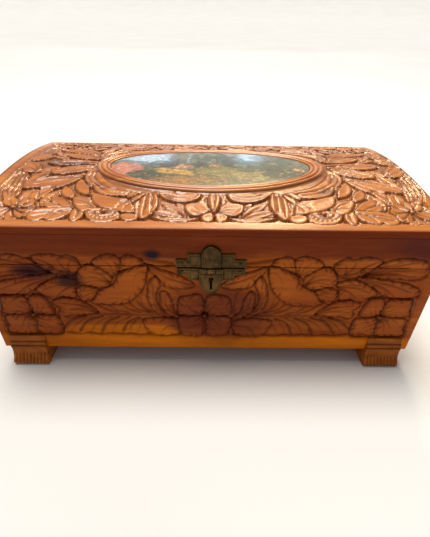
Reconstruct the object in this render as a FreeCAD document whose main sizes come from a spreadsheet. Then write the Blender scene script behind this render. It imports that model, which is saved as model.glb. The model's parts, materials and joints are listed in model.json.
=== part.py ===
# Carved cedar jewelry box: a tapered box with a low domed lid, four moulded feet,
# two brass butt hinges and a brass box lock.
#
# Millimetres. +Z is up, +X to the right and -Y to the front. The origin is the centre of
# the footprint, on the plane the feet stand on.
import FreeCAD, Part
import math
import os
import Sketcher

os.makedirs("parts", exist_ok=True)

doc = FreeCAD.newDocument("JewelryBox")

# ---------------------------------------------------------------- driving dimensions

DIMENSIONS = {
    # the wooden case
    "box_width": 292,          # outer width at the lid's upper edge
    "box_depth": 172,          # outer depth at the lid's upper edge
    "wall_slope": 0.0375,      # how far every wall leans in per millimetre of height
    "edge_height": 109,        # upper edge of the lid's top board
    "rail_height": 105,        # top of the lid's rails, where the top board lies
    "seam_height": 83,         # middle of the saw cut between lid and body
    "foot_height": 13,         # underside of the body
    "saw_cut": 0.3,            # gap between the closed lid and the body
    "board": 9.5,              # thickness of the four walls and the four rails
    "bottom_board": 6,
    "crown": 8,                # how far the top board rises above its own edges
    # the oval picture on the lid, a little behind the middle
    "picture_x": 1,
    "picture_y": 4,
    "picture_half_x": 74.5,
    "picture_half_y": 38,
    "print_thick": 0.4,
    "ring_width": 6,
    "ring_proud": 1,
    # the feet
    "foot_width": 24.5,
    "foot_depth": 27,          # from the toe to the back of the foot
    "foot_inset": 125,         # from the middle of the box to the middle of a foot
    "foot_lip": 11,            # how far the foot laps up the wall
    "toe_reach": 88,           # from the middle of the box to the tip of the toe
    # butt hinges
    "hinge_inset": 90,         # from the middle of the box to the middle of a hinge
    "hinge_width": 25,
    "hinge_leaf": 1,
    "leaf_depth": 3.3,
    "knuckle_radius": 2,
    "knuckle_pitch": 5.04,
    "knuckle_length": 4.84,
    "hinge_pin_radius": 0.8,
    "running_gap": 0.05,
    "moving_gap": 0.3,
    "bevel_depth": 3.2,        # the pin's axis lies this far inside the back face
    "bevel_angle": 50,         # slope of both back rims, which meet as the open stop
    # countersunk screws
    "screw_head_radius": 1.25,
    "screw_radius": 0.7,
    "screw_length": 6.5,
    "foot_screw_length": 16,
    "foot_screw_sink": 0.6,    # how far a foot's screw heads lie above the floor
    "pilot_gap": 0.02,
    # the lock and its plates
    "lock_offset": 2,          # the lock sits this far right of the middle
    "plate_gap": 0.35,         # from the middle of the seam to each plate's edge
    "plate_thick": 1.2,
    "boss_thick": 2.2,
    "plate_half_width": 21.5,
    "plate_shoulder": 14.5,
    "catch_step": 6,           # heights of the upper plate's two steps and of its boss's sides
    "catch_top": 10,
    "catch_boss": 10.6,
    "lock_step": 5.3,          # depths of the lower plate's two steps
    "lock_low": 9.8,
    "boss_half_width": 6,
    "keyhole_radius": 1.5,
    "keyhole_slot": 8,
    "nail_x": 17.8,
    "catch_nail_z": 3.1,
    "lock_nail_z": 2.8,
    "nail_radius": 0.45,
    "nail_head_radius": 1,
    "keyhole_depth": 7.8,      # from the seam to the middle of the keyhole
    "mortise_half_width": 12,
    "mortise_depth": 15.9,
    "mortise_front": 82,       # distance of the mortise's front side from the middle
    "mortise_back": 76.6,
    "case_gap": 0.2,
    "case_wall": 0.6,
    "tongue_offset": 6.6,      # from the middle of the lock to the middle of the tongue
    "tongue_length": 8,
    "tongue_screw_x": 5.5,
    "bolt_top": 4.2,           # depths below the body's rim
    "bolt_bottom": 6.4,
    "ledge_top": 8.6,          # the ledge inside the lock that the bolt's tail slides on
    "bolt_thick": 3.6,
    "nose_thick": 1.4,
    "post_radius": 0.6,
}

sheet = doc.addObject("Spreadsheet::Sheet", "Sizes")
for row, (alias, number) in enumerate(DIMENSIONS.items(), start=1):
    sheet.set(f"A{row}", alias)
    sheet.set(f"B{row}", str(number))
    sheet.setAlias(f"B{row}", alias)
doc.recompute()


def value(expression):
    """The number that an expression of the sheet's cells gives."""
    found = sheet.evalExpression(str(expression))
    return float(getattr(found, "Value", found))


# ---------------------------------------------------------------- expressions used often

PIN_Y = "(Sizes.box_depth / 2 - Sizes.wall_slope * (Sizes.edge_height - Sizes.seam_height)" \
        " - Sizes.bevel_depth)"
BODY_RIM = "(Sizes.seam_height - Sizes.saw_cut / 2)"
LID_RIM = "(Sizes.seam_height + Sizes.saw_cut / 2)"
DOME_RADIUS = "((Sizes.box_depth ^ 2 / 4 + Sizes.crown ^ 2) / (2 * Sizes.crown))"
LOCK_Y = "((Sizes.mortise_front + Sizes.mortise_back) / 2)"
FOOT_SCREW_Y = "(Sizes.toe_reach - 21)"
FOOT_SCREW_SPREAD = 5
WALL_TILT = "atan(Sizes.wall_slope)"
LEAF_SCREW_Y = "(-Sizes.knuckle_radius - Sizes.moving_gap - Sizes.leaf_depth / 2)"
SCREW_Y = f"({PIN_Y} + {LEAF_SCREW_Y})"


def half_width(height):
    """Half of the box's outer width at a height."""
    return f"(Sizes.box_width / 2 - Sizes.wall_slope * (Sizes.edge_height - ({height})))"


def half_depth(height):
    """Half of the box's outer depth at a height."""
    return f"(Sizes.box_depth / 2 - Sizes.wall_slope * (Sizes.edge_height - ({height})))"


# ---------------------------------------------------------------- sketching helpers

def new_body(name):
    body = doc.addObject("PartDesign::Body", name)
    body.Label = name
    body.AllowCompound = True
    return body


def new_sketch(body, name, role, offset=None, shift=None):
    """A sketch on one of the body's own origin planes, moved along its normal or in itself."""
    plane = next(item for item in body.Origin.OriginFeatures if item.Role == role)
    sketch = body.newObject("Sketcher::SketchObject", f"{body.Name}_{name}")
    sketch.AttachmentSupport = [(plane, "")]
    sketch.MapMode = "FlatFace"
    if offset is not None:
        sketch.setExpression(".AttachmentOffset.Base.z", offset)
    if shift is not None:
        sketch.setExpression(".AttachmentOffset.Base.x", shift[0])
        sketch.setExpression(".AttachmentOffset.Base.y", shift[1])
    return sketch


def bind(sketch, kind, edge, end, expression):
    """Ties one coordinate of an edge's end to an expression."""
    index = sketch.addConstraint(Sketcher.Constraint(kind, -1, 1, edge, end, value(expression)))
    sketch.setExpression(f"Constraints[{index}]", expression)


def arc_between(first, last, radius):
    """An arc that bulges left of the way from first to last, or right if radius is negative."""
    chord = last - first
    middle = (first + last) / 2
    left = FreeCAD.Vector(-chord.y, chord.x, 0).normalize()
    rise = abs(radius) - math.sqrt(max(radius ** 2 - (chord.Length / 2) ** 2, 0))
    return Part.Arc(first, middle + left * math.copysign(rise, radius), last)


def polygon(sketch, points, arcs=None):
    """A closed outline; arcs maps an edge's number to its radius."""
    arcs = arcs or {}
    corners = [FreeCAD.Vector(value(x), value(y), 0) for x, y in points]
    edges = []
    for number, corner in enumerate(corners):
        following = corners[(number + 1) % len(corners)]
        if number in arcs:
            shape = arc_between(corner, following, value(arcs[number]))
        else:
            shape = Part.LineSegment(corner, following)
        edge = sketch.addGeometry(shape, False)
        forward = sketch.getPoint(edge, 1).distanceToPoint(corner) < 1e-6
        edges.append((edge, 1, 2) if forward else (edge, 2, 1))
    for number, (edge, start, end) in enumerate(edges):
        after, after_start, _ = edges[(number + 1) % len(edges)]
        sketch.addConstraint(Sketcher.Constraint("Coincident", edge, end, after, after_start))
        bind(sketch, "DistanceX", edge, start, points[number][0])
        bind(sketch, "DistanceY", edge, start, points[number][1])
    for number, radius in arcs.items():
        edge = edges[number][0]
        index = sketch.addConstraint(Sketcher.Constraint("Radius", edge, abs(value(radius))))
        sketch.setExpression(f"Constraints[{index}]", f"abs({radius})")
    return sketch


def rectangle(sketch, left, right, low, high):
    return polygon(sketch, [(left, low), (right, low), (right, high), (left, high)])


def circle(sketch, x, y, radius):
    centre = FreeCAD.Vector(value(x), value(y), 0)
    normal = FreeCAD.Vector(0, 0, 1)
    edge = sketch.addGeometry(Part.Circle(centre, normal, value(radius)), False)
    bind(sketch, "DistanceX", edge, 3, x)
    bind(sketch, "DistanceY", edge, 3, y)
    index = sketch.addConstraint(Sketcher.Constraint("Radius", edge, value(radius)))
    sketch.setExpression(f"Constraints[{index}]", radius)
    return sketch


def ellipse(sketch, x, y, half_x, half_y):
    """An ellipse that is longer along the sketch's X."""
    centre = FreeCAD.Vector(value(x), value(y), 0)
    major = centre + FreeCAD.Vector(value(half_x), 0, 0)
    minor = centre + FreeCAD.Vector(0, value(half_y), 0)
    edge = sketch.addGeometry(Part.Ellipse(major, minor, centre), False)
    sketch.exposeInternalGeometry(edge)
    bind(sketch, "DistanceX", edge, 3, x)
    bind(sketch, "DistanceY", edge, 3, y)
    sketch.addConstraint(Sketcher.Constraint("Horizontal", edge + 1))
    for line, half in ((edge + 1, half_x), (edge + 2, half_y)):
        index = sketch.addConstraint(Sketcher.Constraint("Distance", line, 2 * value(half)))
        sketch.setExpression(f"Constraints[{index}]", f"2 * ({half})")
    return sketch


def extrude(body, kind, sketch, length=None, symmetric=False, reverse=False):
    """A Pad or Pocket; without a length it goes right through, both ways."""
    feature = body.newObject(f"PartDesign::{kind}", f"{sketch.Name}_{kind}")
    feature.Profile = sketch
    feature.Refine = False
    if length is None:
        feature.Type = "ThroughAll"
        feature.Midplane = True
    else:
        feature.setExpression("Length", length)
        feature.Midplane = symmetric
        feature.Reversed = reverse
    sketch.Visibility = False
    return feature


def cut_checked(body, sketch, length=None, symmetric=False, reverse=False):
    """A Pocket that must take material away."""
    doc.recompute()
    before = body.Shape.Volume
    feature = extrude(body, "Pocket", sketch, length, symmetric, reverse)
    doc.recompute()
    if body.Shape.Volume > before - 1e-3:
        raise RuntimeError(f"{feature.Name} cuts nothing")
    return feature


def repeat(body, originals, mirrors=(), row=None):
    """Repeats features in a row along X and then in mirrors of the origin planes."""
    steps = []
    if row is not None:
        step = body.newObject("PartDesign::LinearPattern", f"{body.Name}_Row")
        axis = next(item for item in body.Origin.OriginFeatures if item.Role == "X_Axis")
        step.Direction = (axis, [""])
        step.setExpression("Length", row)
        step.Occurrences = 2
        steps.append(step)
    for role in mirrors:
        step = body.newObject("PartDesign::Mirrored", f"{body.Name}_Mirror_{role}")
        plane = next(item for item in body.Origin.OriginFeatures if item.Role == role)
        step.MirrorPlane = (plane, [""])
        steps.append(step)
    together = body.newObject("PartDesign::MultiTransform", f"{body.Name}_Copies")
    together.Originals = originals
    together.Transformations = steps
    body.Tip = together
    return together


def place(body, x="0", y="0", z="0", tilt=None, turn=None):
    """Puts a body where expressions say, tilted about X or turned about Z."""
    if turn is not None:
        body.Placement.Rotation = FreeCAD.Rotation(FreeCAD.Vector(0, 0, 1), turn)
    if tilt is not None:
        body.Placement.Rotation = FreeCAD.Rotation(FreeCAD.Vector(1, 0, 0), value(tilt))
        body.setExpression("Placement.Rotation.Angle", tilt)
    for axis, expression in (("x", x), ("y", y), ("z", z)):
        body.setExpression(f"Placement.Base.{axis}", expression)


# ---------------------------------------------------------------- walls and rails

def leaning_section(sketch, outer, low, high, sign):
    """The section of a wall whose two faces lean out and whose edges are level."""
    bottom = f"{sign} * {outer(low)}"
    top = f"{sign} * {outer(high)}"
    inward = f"{-sign} * Sizes.board"
    points = [(bottom, low), (top, high), (f"{top} + {inward}", high), (f"{bottom} + {inward}", low)]
    return polygon(sketch, points)


def long_wall(name, sign, low, high):
    """The front (sign -1) or back (sign 1) board, its ends cut to the box's taper."""
    body = new_body(name)
    section = leaning_section(new_sketch(body, "section", "YZ_Plane"), half_depth, low, high, sign)
    extrude(body, "Pad", section, "Sizes.box_width", symmetric=True)
    ends = new_sketch(body, "ends", "XZ_Plane")
    for side in (-1, 1):
        outside = f"{side} * Sizes.box_width"
        polygon(ends, [(f"{side} * {half_width(low)}", low), (f"{side} * {half_width(high)}", high),
                       (outside, high), (outside, low)])
    cut_checked(body, ends)
    return body


def short_wall(name, sign, low, high):
    """A left (sign -1) or right (sign 1) board, which fits between the long ones."""
    body = new_body(name)
    section = leaning_section(new_sketch(body, "section", "XZ_Plane"), half_width, low, high, sign)
    extrude(body, "Pad", section, "Sizes.box_depth", symmetric=True)
    ends = new_sketch(body, "ends", "YZ_Plane")
    for side in (-1, 1):
        outside = f"{side} * Sizes.box_depth"
        polygon(ends, [(f"{side} * ({half_depth(low)} - Sizes.board)", low),
                       (f"{side} * ({half_depth(high)} - Sizes.board)", high),
                       (outside, high), (outside, low)])
    cut_checked(body, ends)
    return body


def cut_hinge_seats(body, rim, side):
    """Bevels a back rim (side -1 below the seam, 1 above) and lets two hinges into it."""
    rise = f"{side} * tan(Sizes.bevel_angle) * 2 * Sizes.bevel_depth"
    bevel = new_sketch(body, "bevel", "YZ_Plane")
    polygon(bevel, [(PIN_Y, "Sizes.seam_height"), (f"{PIN_Y} + 2 * Sizes.bevel_depth", "Sizes.seam_height"),
                    (f"{PIN_Y} + 2 * Sizes.bevel_depth", f"Sizes.seam_height + {rise}")])
    cut_checked(body, bevel)

    knuckles = new_sketch(body, "knuckles", "YZ_Plane", "Sizes.hinge_inset")
    circle(knuckles, PIN_Y, "Sizes.seam_height", "Sizes.knuckle_radius + Sizes.moving_gap")
    barrel_cut = cut_checked(body, knuckles, "Sizes.hinge_width + 4 * Sizes.moving_gap", symmetric=True)

    leaf = new_sketch(body, "leaf", "XY_Plane", rim)
    width = "Sizes.hinge_width + 2 * Sizes.moving_gap"
    left = f"Sizes.hinge_inset - ({width}) / 2"
    right = f"Sizes.hinge_inset + ({width}) / 2"
    inner = f"{PIN_Y} - Sizes.knuckle_radius - Sizes.moving_gap - Sizes.leaf_depth"
    rectangle(leaf, left, right, inner, PIN_Y)
    leaf_cut = cut_checked(body, leaf, "Sizes.hinge_leaf", reverse=side > 0)

    pilots = new_sketch(body, "pilots", "XY_Plane", rim)
    for end in (-1, 1):
        circle(pilots, f"Sizes.hinge_inset + {end} * Sizes.hinge_width / 4", SCREW_Y,
               "Sizes.screw_radius + Sizes.pilot_gap")
    pilot_cut = cut_checked(body, pilots, "Sizes.screw_length", reverse=side > 0)
    repeat(body, [barrel_cut, leaf_cut, pilot_cut], mirrors=["YZ_Plane"])


def cut_lock_mortise(body):
    """The pocket for the lock in the front board's rim, and the keyhole into it."""
    mortise = new_sketch(body, "mortise", "XY_Plane", BODY_RIM)
    rectangle(mortise, "Sizes.lock_offset - Sizes.mortise_half_width",
              "Sizes.lock_offset + Sizes.mortise_half_width",
              "-Sizes.mortise_front", "-Sizes.mortise_back")
    cut_checked(body, mortise, "Sizes.mortise_depth")
    keyhole = new_sketch(body, "keyhole", "XZ_Plane", LOCK_Y)
    middle = "Sizes.seam_height - Sizes.keyhole_depth"
    rectangle(keyhole, "Sizes.lock_offset - Sizes.keyhole_radius",
              "Sizes.lock_offset + Sizes.keyhole_radius", f"{middle} - Sizes.keyhole_slot", middle)
    cut_checked(body, keyhole, "Sizes.board", reverse=True)
    eye = new_sketch(body, "eye", "XZ_Plane", LOCK_Y)
    circle(eye, "Sizes.lock_offset", middle, "Sizes.keyhole_radius + 0.4")
    cut_checked(body, eye, "Sizes.board", reverse=True)


def cut_tongue_seat(body):
    """The shallow seat for the tongue's plate under the lid's front rail."""
    seat = new_sketch(body, "tongue_seat", "XY_Plane", LID_RIM)
    middle = "Sizes.lock_offset + Sizes.tongue_offset"
    half_long = 8.1
    half_wide = 2.3
    rectangle(seat, f"{middle} - {half_long}", f"{middle} + {half_long}",
              f"-{LOCK_Y} - {half_wide}", f"-{LOCK_Y} + {half_wide}")
    cut_checked(body, seat, "Sizes.hinge_leaf", reverse=True)
    pilots = new_sketch(body, "tongue_pilots", "XY_Plane", LID_RIM)
    for end in (-1, 1):
        circle(pilots, f"{middle} + {end} * Sizes.tongue_screw_x", f"-{LOCK_Y}",
               "Sizes.screw_radius + Sizes.pilot_gap")
    cut_checked(body, pilots, "Sizes.screw_length", reverse=True)


def make_case_boards():
    long_wall("body_front", -1, "Sizes.foot_height", BODY_RIM)
    long_wall("body_back", 1, "Sizes.foot_height", BODY_RIM)
    short_wall("body_end_left", -1, "Sizes.foot_height", BODY_RIM)
    short_wall("body_end_right", 1, "Sizes.foot_height", BODY_RIM)
    long_wall("lid_front", -1, LID_RIM, "Sizes.rail_height")
    long_wall("lid_back", 1, LID_RIM, "Sizes.rail_height")
    short_wall("lid_end_left", -1, LID_RIM, "Sizes.rail_height")
    short_wall("lid_end_right", 1, LID_RIM, "Sizes.rail_height")
    cut_hinge_seats(doc.body_back, BODY_RIM, -1)
    cut_hinge_seats(doc.lid_back, LID_RIM, 1)
    cut_lock_mortise(doc.body_front)
    cut_tongue_seat(doc.lid_front)


def make_bottom():
    """The bottom board, which fits between the walls, with holes for the feet's screws."""
    body = new_body("body_bottom")
    inside_x = f"({half_width('Sizes.foot_height')} - Sizes.board)"
    inside_y = f"({half_depth('Sizes.foot_height')} - Sizes.board)"
    outline = new_sketch(body, "outline", "XY_Plane", "Sizes.foot_height")
    rectangle(outline, f"-{inside_x}", inside_x, f"-{inside_y}", inside_y)
    extrude(body, "Pad", outline, "Sizes.bottom_board")
    pilots = new_sketch(body, "pilots", "XY_Plane", "Sizes.foot_height")
    for side in (-1, 1):
        circle(pilots, f"Sizes.foot_inset + {side} * {FOOT_SCREW_SPREAD}", FOOT_SCREW_Y,
               "Sizes.screw_radius + Sizes.pilot_gap")
    cut = cut_checked(body, pilots, "Sizes.bottom_board - 1", reverse=True)
    repeat(body, [cut], mirrors=["YZ_Plane", "XZ_Plane"])


# ---------------------------------------------------------------- domed top and its picture

def above_dome(sketch, lift, ceiling):
    """The region above the dome's arc when that is lifted, up to a ceiling."""
    radius = f"({DOME_RADIUS} + {lift})"
    centre = f"(Sizes.edge_height + Sizes.crown - {DOME_RADIUS})"
    side = f"({centre} + sqrt({radius} ^ 2 - Sizes.box_depth ^ 2 / 4))"
    points = [("-Sizes.box_depth / 2", side), ("Sizes.box_depth / 2", side),
              ("Sizes.box_depth / 2", ceiling), ("-Sizes.box_depth / 2", ceiling)]
    return polygon(sketch, points, {0: radius})


def make_top():
    """The lid's top board: flat below, a low dome above, with a raised oval ring."""
    body = new_body("lid_top")
    section = new_sketch(body, "section", "YZ_Plane")
    low = half_depth("Sizes.rail_height")
    points = [(f"-{low}", "Sizes.rail_height"), ("-Sizes.box_depth / 2", "Sizes.edge_height"),
              ("Sizes.box_depth / 2", "Sizes.edge_height"), (low, "Sizes.rail_height")]
    polygon(section, points, {1: DOME_RADIUS})
    extrude(body, "Pad", section, "Sizes.box_width", symmetric=True)

    ends = new_sketch(body, "ends", "XZ_Plane")
    for side in (-1, 1):
        edge = f"{side} * {half_width('Sizes.rail_height')}"
        polygon(ends, [(edge, "Sizes.rail_height"), (f"{side} * Sizes.box_width / 2", "Sizes.edge_height"),
                       (f"{side} * Sizes.box_width / 2", "Sizes.rail_height")])
    cut_checked(body, ends)

    ring = new_sketch(body, "ring", "XY_Plane", "Sizes.rail_height")
    centre = ("Sizes.picture_x", "Sizes.picture_y")
    ellipse(ring, *centre, "Sizes.picture_half_x + Sizes.ring_width",
            "Sizes.picture_half_y + Sizes.ring_width")
    ellipse(ring, *centre, "Sizes.picture_half_x", "Sizes.picture_half_y")
    extrude(body, "Pad", ring, "Sizes.crown + 10")
    spare = new_sketch(body, "spare", "YZ_Plane")
    above_dome(spare, "Sizes.ring_proud", "Sizes.edge_height + 3 * Sizes.crown")
    cut_checked(body, spare)


def make_picture():
    """The oval print, glued to the dome inside the ring."""
    body = new_body("picture_print")
    oval = new_sketch(body, "oval", "XY_Plane", "Sizes.edge_height")
    ellipse(oval, "Sizes.picture_x", "Sizes.picture_y",
            "Sizes.picture_half_x - 0.1", "Sizes.picture_half_y - 0.1")
    extrude(body, "Pad", oval, "2 * Sizes.crown")
    over = new_sketch(body, "over", "YZ_Plane")
    above_dome(over, "Sizes.print_thick", "Sizes.edge_height + 3 * Sizes.crown")
    cut_checked(body, over)
    under = new_sketch(body, "under", "YZ_Plane")
    floor = "Sizes.edge_height - Sizes.crown"
    points = [("-Sizes.box_depth / 2", "Sizes.edge_height"), ("Sizes.box_depth / 2", "Sizes.edge_height"),
              ("Sizes.box_depth / 2", floor), ("-Sizes.box_depth / 2", floor)]
    polygon(under, points, {0: DOME_RADIUS})
    cut_checked(body, under)


# ---------------------------------------------------------------- feet

def make_foot(label, side_x, side_y):
    """A moulded foot: a lip laps up the wall, two steps, then a cove that flares to a toe."""
    body = new_body(label)
    wall_low = half_depth("Sizes.foot_height")
    lip_top = "(Sizes.foot_height + Sizes.foot_lip)"
    wall_high = half_depth(lip_top)
    back = "(Sizes.toe_reach - Sizes.foot_depth)"
    section = new_sketch(body, "section", "YZ_Plane")
    points = [
        (f"-{wall_high}", lip_top),
        (f"-{wall_high} - 1", f"{lip_top} - 0.4"),
        (f"-{wall_high} - 1", f"{lip_top} - 4.6"),
        (f"-{wall_high} - 2.1", f"{lip_top} - 5"),
        (f"-{wall_high} - 2.1", f"{lip_top} - 7.8"),
        (f"-{wall_high} - 3", f"{lip_top} - 8.2"),
        ("-Sizes.toe_reach", "3.4"),
        ("-Sizes.toe_reach + 2.4", "0"),
        (f"-{back}", "0"),
        (f"-{back}", "Sizes.foot_height"),
        (f"-{wall_low}", "Sizes.foot_height"),
    ]
    polygon(section, points, {5: "12", 6: "-3.2"})
    extrude(body, "Pad", section, "Sizes.foot_width", symmetric=True)
    screws = new_sketch(body, "screws", "XY_Plane")
    for end in (-1, 1):
        circle(screws, f"{end} * {FOOT_SCREW_SPREAD}", f"-{FOOT_SCREW_Y}",
               "Sizes.screw_radius + Sizes.pilot_gap")
    cut_checked(body, screws, "2 * Sizes.foot_height", reverse=True)
    heads = new_sketch(body, "heads", "XY_Plane")
    for end in (-1, 1):
        circle(heads, f"{end} * {FOOT_SCREW_SPREAD}", f"-{FOOT_SCREW_Y}",
               "Sizes.screw_head_radius + Sizes.pilot_gap")
    depth = "Sizes.foot_screw_sink + Sizes.screw_head_radius - Sizes.screw_radius"
    cut_checked(body, heads, depth, reverse=True)
    place(body, x=f"{side_x} * Sizes.foot_inset", turn=0 if side_y < 0 else 180)


# ---------------------------------------------------------------- fasteners

def revolve(body, sketch, axis):
    feature = body.newObject("PartDesign::Revolution", f"{sketch.Name}_Revolution")
    feature.Profile = sketch
    feature.ReferenceAxis = (sketch, [axis])
    feature.Angle = 360
    sketch.Visibility = False
    return feature


def make_screws(name, length, x, y="0", **copies):
    """Countersunk screws that point down, with their heads' faces at height 0."""
    body = new_body(name)
    sketch = new_sketch(body, "half", "XZ_Plane", f"-({y})", (x, "0"))
    head = "Sizes.screw_head_radius"
    shank = "Sizes.screw_radius"
    points = [("0", "0"), (head, "0"), (shank, f"{shank} - {head}"),
              (shank, f"{shank} - {length}"), ("0", f"-{length}")]
    polygon(sketch, points)
    repeat(body, [revolve(body, sketch, "V_Axis")], **copies)
    return body


def make_pins(name, x, z):
    """A pair of round-headed nails through a plate on the front, in the front face's frame."""
    body = new_body(name)
    sketch = new_sketch(body, "half", "YZ_Plane", x, ("0", z))
    tip = "4.5"
    shoulder = "3.9"
    face = "-Sizes.plate_thick"
    brim = f"{face} - 0.3"
    crown = f"{face} - 0.75"
    crown_radius = "0.45"
    points = [(tip, "0"), (shoulder, "Sizes.nail_radius"), (face, "Sizes.nail_radius"),
              (face, "Sizes.nail_head_radius"), (brim, "Sizes.nail_head_radius"),
              (crown, crown_radius), (crown, "0")]
    polygon(sketch, points)
    repeat(body, [revolve(body, sketch, "H_Axis")], mirrors=["YZ_Plane"])
    place_on_front(body)


def place_on_front(body):
    """Stands a body on the leaning front face, at the seam and in line with the lock."""
    place(body, "Sizes.lock_offset", f"-{half_depth('Sizes.seam_height')}", "Sizes.seam_height",
          tilt=WALL_TILT)


# ---------------------------------------------------------------- hinges

def make_leaf(label, side_x, side_z, own_knuckles):
    """A hinge leaf with its own knuckles; side_z is -1 for the body's leaf, 1 for the lid's."""
    body = new_body(label)
    near = "(Sizes.saw_cut / 2)"
    far = "(Sizes.saw_cut / 2 + Sizes.hinge_leaf)"
    inner = "(-Sizes.knuckle_radius - Sizes.moving_gap)"
    tip = "(-Sizes.hinge_pin_radius - 0.4)"
    comb = [("-Sizes.hinge_width / 2", f"{inner} - Sizes.leaf_depth"),
            ("Sizes.hinge_width / 2", f"{inner} - Sizes.leaf_depth"),
            ("Sizes.hinge_width / 2", inner)]
    for knuckle in sorted(own_knuckles, reverse=True):
        right = f"{knuckle} * Sizes.knuckle_pitch + Sizes.knuckle_length / 2"
        left = f"{knuckle} * Sizes.knuckle_pitch - Sizes.knuckle_length / 2"
        if knuckle == 2:
            comb.pop()
        else:
            comb.append((right, inner))
        comb += [(right, tip), (left, tip)]
        if knuckle != -2:
            comb.append((left, inner))
    if -2 not in own_knuckles:
        comb.append(("-Sizes.hinge_width / 2", inner))
    plate = new_sketch(body, "plate", "XY_Plane", near if side_z > 0 else f"-{far}")
    polygon(plate, comb)
    extrude(body, "Pad", plate, "Sizes.hinge_leaf")

    for knuckle in own_knuckles:
        barrel = new_sketch(body, f"barrel{knuckle + 2}", "YZ_Plane", f"{knuckle} * Sizes.knuckle_pitch")
        circle(barrel, "0", "0", "Sizes.knuckle_radius")
        extrude(body, "Pad", barrel, "Sizes.knuckle_length", symmetric=True)
    bore = new_sketch(body, "bore", "YZ_Plane")
    circle(bore, "0", "0", "Sizes.hinge_pin_radius + Sizes.running_gap")
    cut_checked(body, bore)

    screws = new_sketch(body, "screws", "XZ_Plane", "-" + LEAF_SCREW_Y, ("Sizes.hinge_width / 4", "0"))
    countersink(screws, near, side_z)
    sunk = groove(body, screws)
    repeat(body, [sunk], mirrors=["YZ_Plane"])
    place(body, f"{side_x} * Sizes.hinge_inset", PIN_Y, "Sizes.seam_height")


def countersink(sketch, face, side):
    """Half the section of a screw's hole; its wide mouth is at a face on that side of 0."""
    head = "(Sizes.screw_head_radius + Sizes.pilot_gap)"
    shank = "(Sizes.screw_radius + Sizes.pilot_gap)"
    mouth = f"{side} * {face}"
    neck = f"{side} * ({face} + {head} - {shank})"
    end = f"{side} * ({face} + Sizes.hinge_leaf)"
    return polygon(sketch, [("0", mouth), (head, mouth), (shank, neck), (shank, end), ("0", end)])


def groove(body, sketch):
    doc.recompute()
    before = body.Shape.Volume
    feature = body.newObject("PartDesign::Groove", f"{sketch.Name}_Groove")
    feature.Profile = sketch
    feature.ReferenceAxis = (sketch, ["V_Axis"])
    feature.Angle = 360
    sketch.Visibility = False
    doc.recompute()
    if body.Shape.Volume > before - 1e-3:
        raise RuntimeError(f"{feature.Name} cuts nothing")
    return feature


def make_hinge_pin(label, side_x):
    """The pin, with a flat head peened over each end."""
    body = new_body(label)
    end = "(Sizes.hinge_width / 2 + Sizes.running_gap)"
    tip = "(Sizes.hinge_width / 2 + 0.5)"
    head = "(Sizes.knuckle_radius - 0.6)"
    sketch = new_sketch(body, "half", "XZ_Plane")
    points = [(f"-{tip}", "0"), (tip, "0"), (tip, head), (end, head), (end, "Sizes.hinge_pin_radius"),
              (f"-{end}", "Sizes.hinge_pin_radius"), (f"-{end}", head), (f"-{tip}", head)]
    polygon(sketch, points)
    revolve(body, sketch, "H_Axis")
    place(body, f"{side_x} * Sizes.hinge_inset", PIN_Y, "Sizes.seam_height")


def make_hinges():
    for side_name, side_x in (("left", -1), ("right", 1)):
        make_leaf(f"hinge_{side_name}_body_leaf", side_x, -1, (-2, 0, 2))
        make_leaf(f"hinge_{side_name}_lid_leaf", side_x, 1, (-1, 1))
        make_hinge_pin(f"hinge_{side_name}_pin", side_x)
    first = "Sizes.hinge_inset - Sizes.hinge_width / 4"
    row = {"row": "Sizes.hinge_width / 2", "mirrors": ["YZ_Plane"]}
    lower = make_screws("hinge_body_screws", "Sizes.screw_length", first, **row)
    place(lower, y=SCREW_Y, z=BODY_RIM)
    upper = make_screws("hinge_lid_screws", "Sizes.screw_length", first, **row)
    place(upper, y=SCREW_Y, z=LID_RIM, tilt="180")


# ---------------------------------------------------------------- plates on the front

def stepped_plate(label, direction, half, steps):
    """A plate that steps in away from the seam, upwards (1) or downwards (-1)."""
    body = new_body(label)
    outline = new_sketch(body, "outline", "XZ_Plane")
    heights = [f"{direction} * Sizes.plate_gap"] + [f"{direction} * {step}" for step in steps]
    points = [(f"-{half}", heights[0]), (half, heights[0]), (half, heights[1]),
              ("Sizes.plate_shoulder", heights[1]), ("Sizes.plate_shoulder", heights[2]),
              ("-Sizes.plate_shoulder", heights[2]), ("-Sizes.plate_shoulder", heights[1]),
              (f"-{half}", heights[1])]
    polygon(outline, points)
    extrude(body, "Pad", outline, "Sizes.plate_thick")
    return body


def drill_plate(body, x, z):
    holes = new_sketch(body, "pin_holes", "XZ_Plane")
    for side in (-1, 1):
        circle(holes, f"{side} * {x}", z, "Sizes.nail_radius + Sizes.pilot_gap")
    cut_checked(body, holes)
    place_on_front(body)


def make_catch_plate():
    """The upper plate, on the lid, with a round-topped boss in its middle."""
    body = stepped_plate("catch_plate", 1, "Sizes.plate_half_width",
                         ("Sizes.catch_step", "Sizes.catch_top"))
    boss = new_sketch(body, "boss", "XZ_Plane")
    points = [("-Sizes.boss_half_width", "Sizes.plate_gap"), ("Sizes.boss_half_width", "Sizes.plate_gap"),
              ("Sizes.boss_half_width", "Sizes.catch_boss"), ("-Sizes.boss_half_width", "Sizes.catch_boss")]
    polygon(boss, points, {2: "(-Sizes.boss_half_width - 0.1)"})
    extrude(body, "Pad", boss, "Sizes.boss_thick")
    drill_plate(body, "Sizes.nail_x", "Sizes.catch_nail_z")


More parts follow.
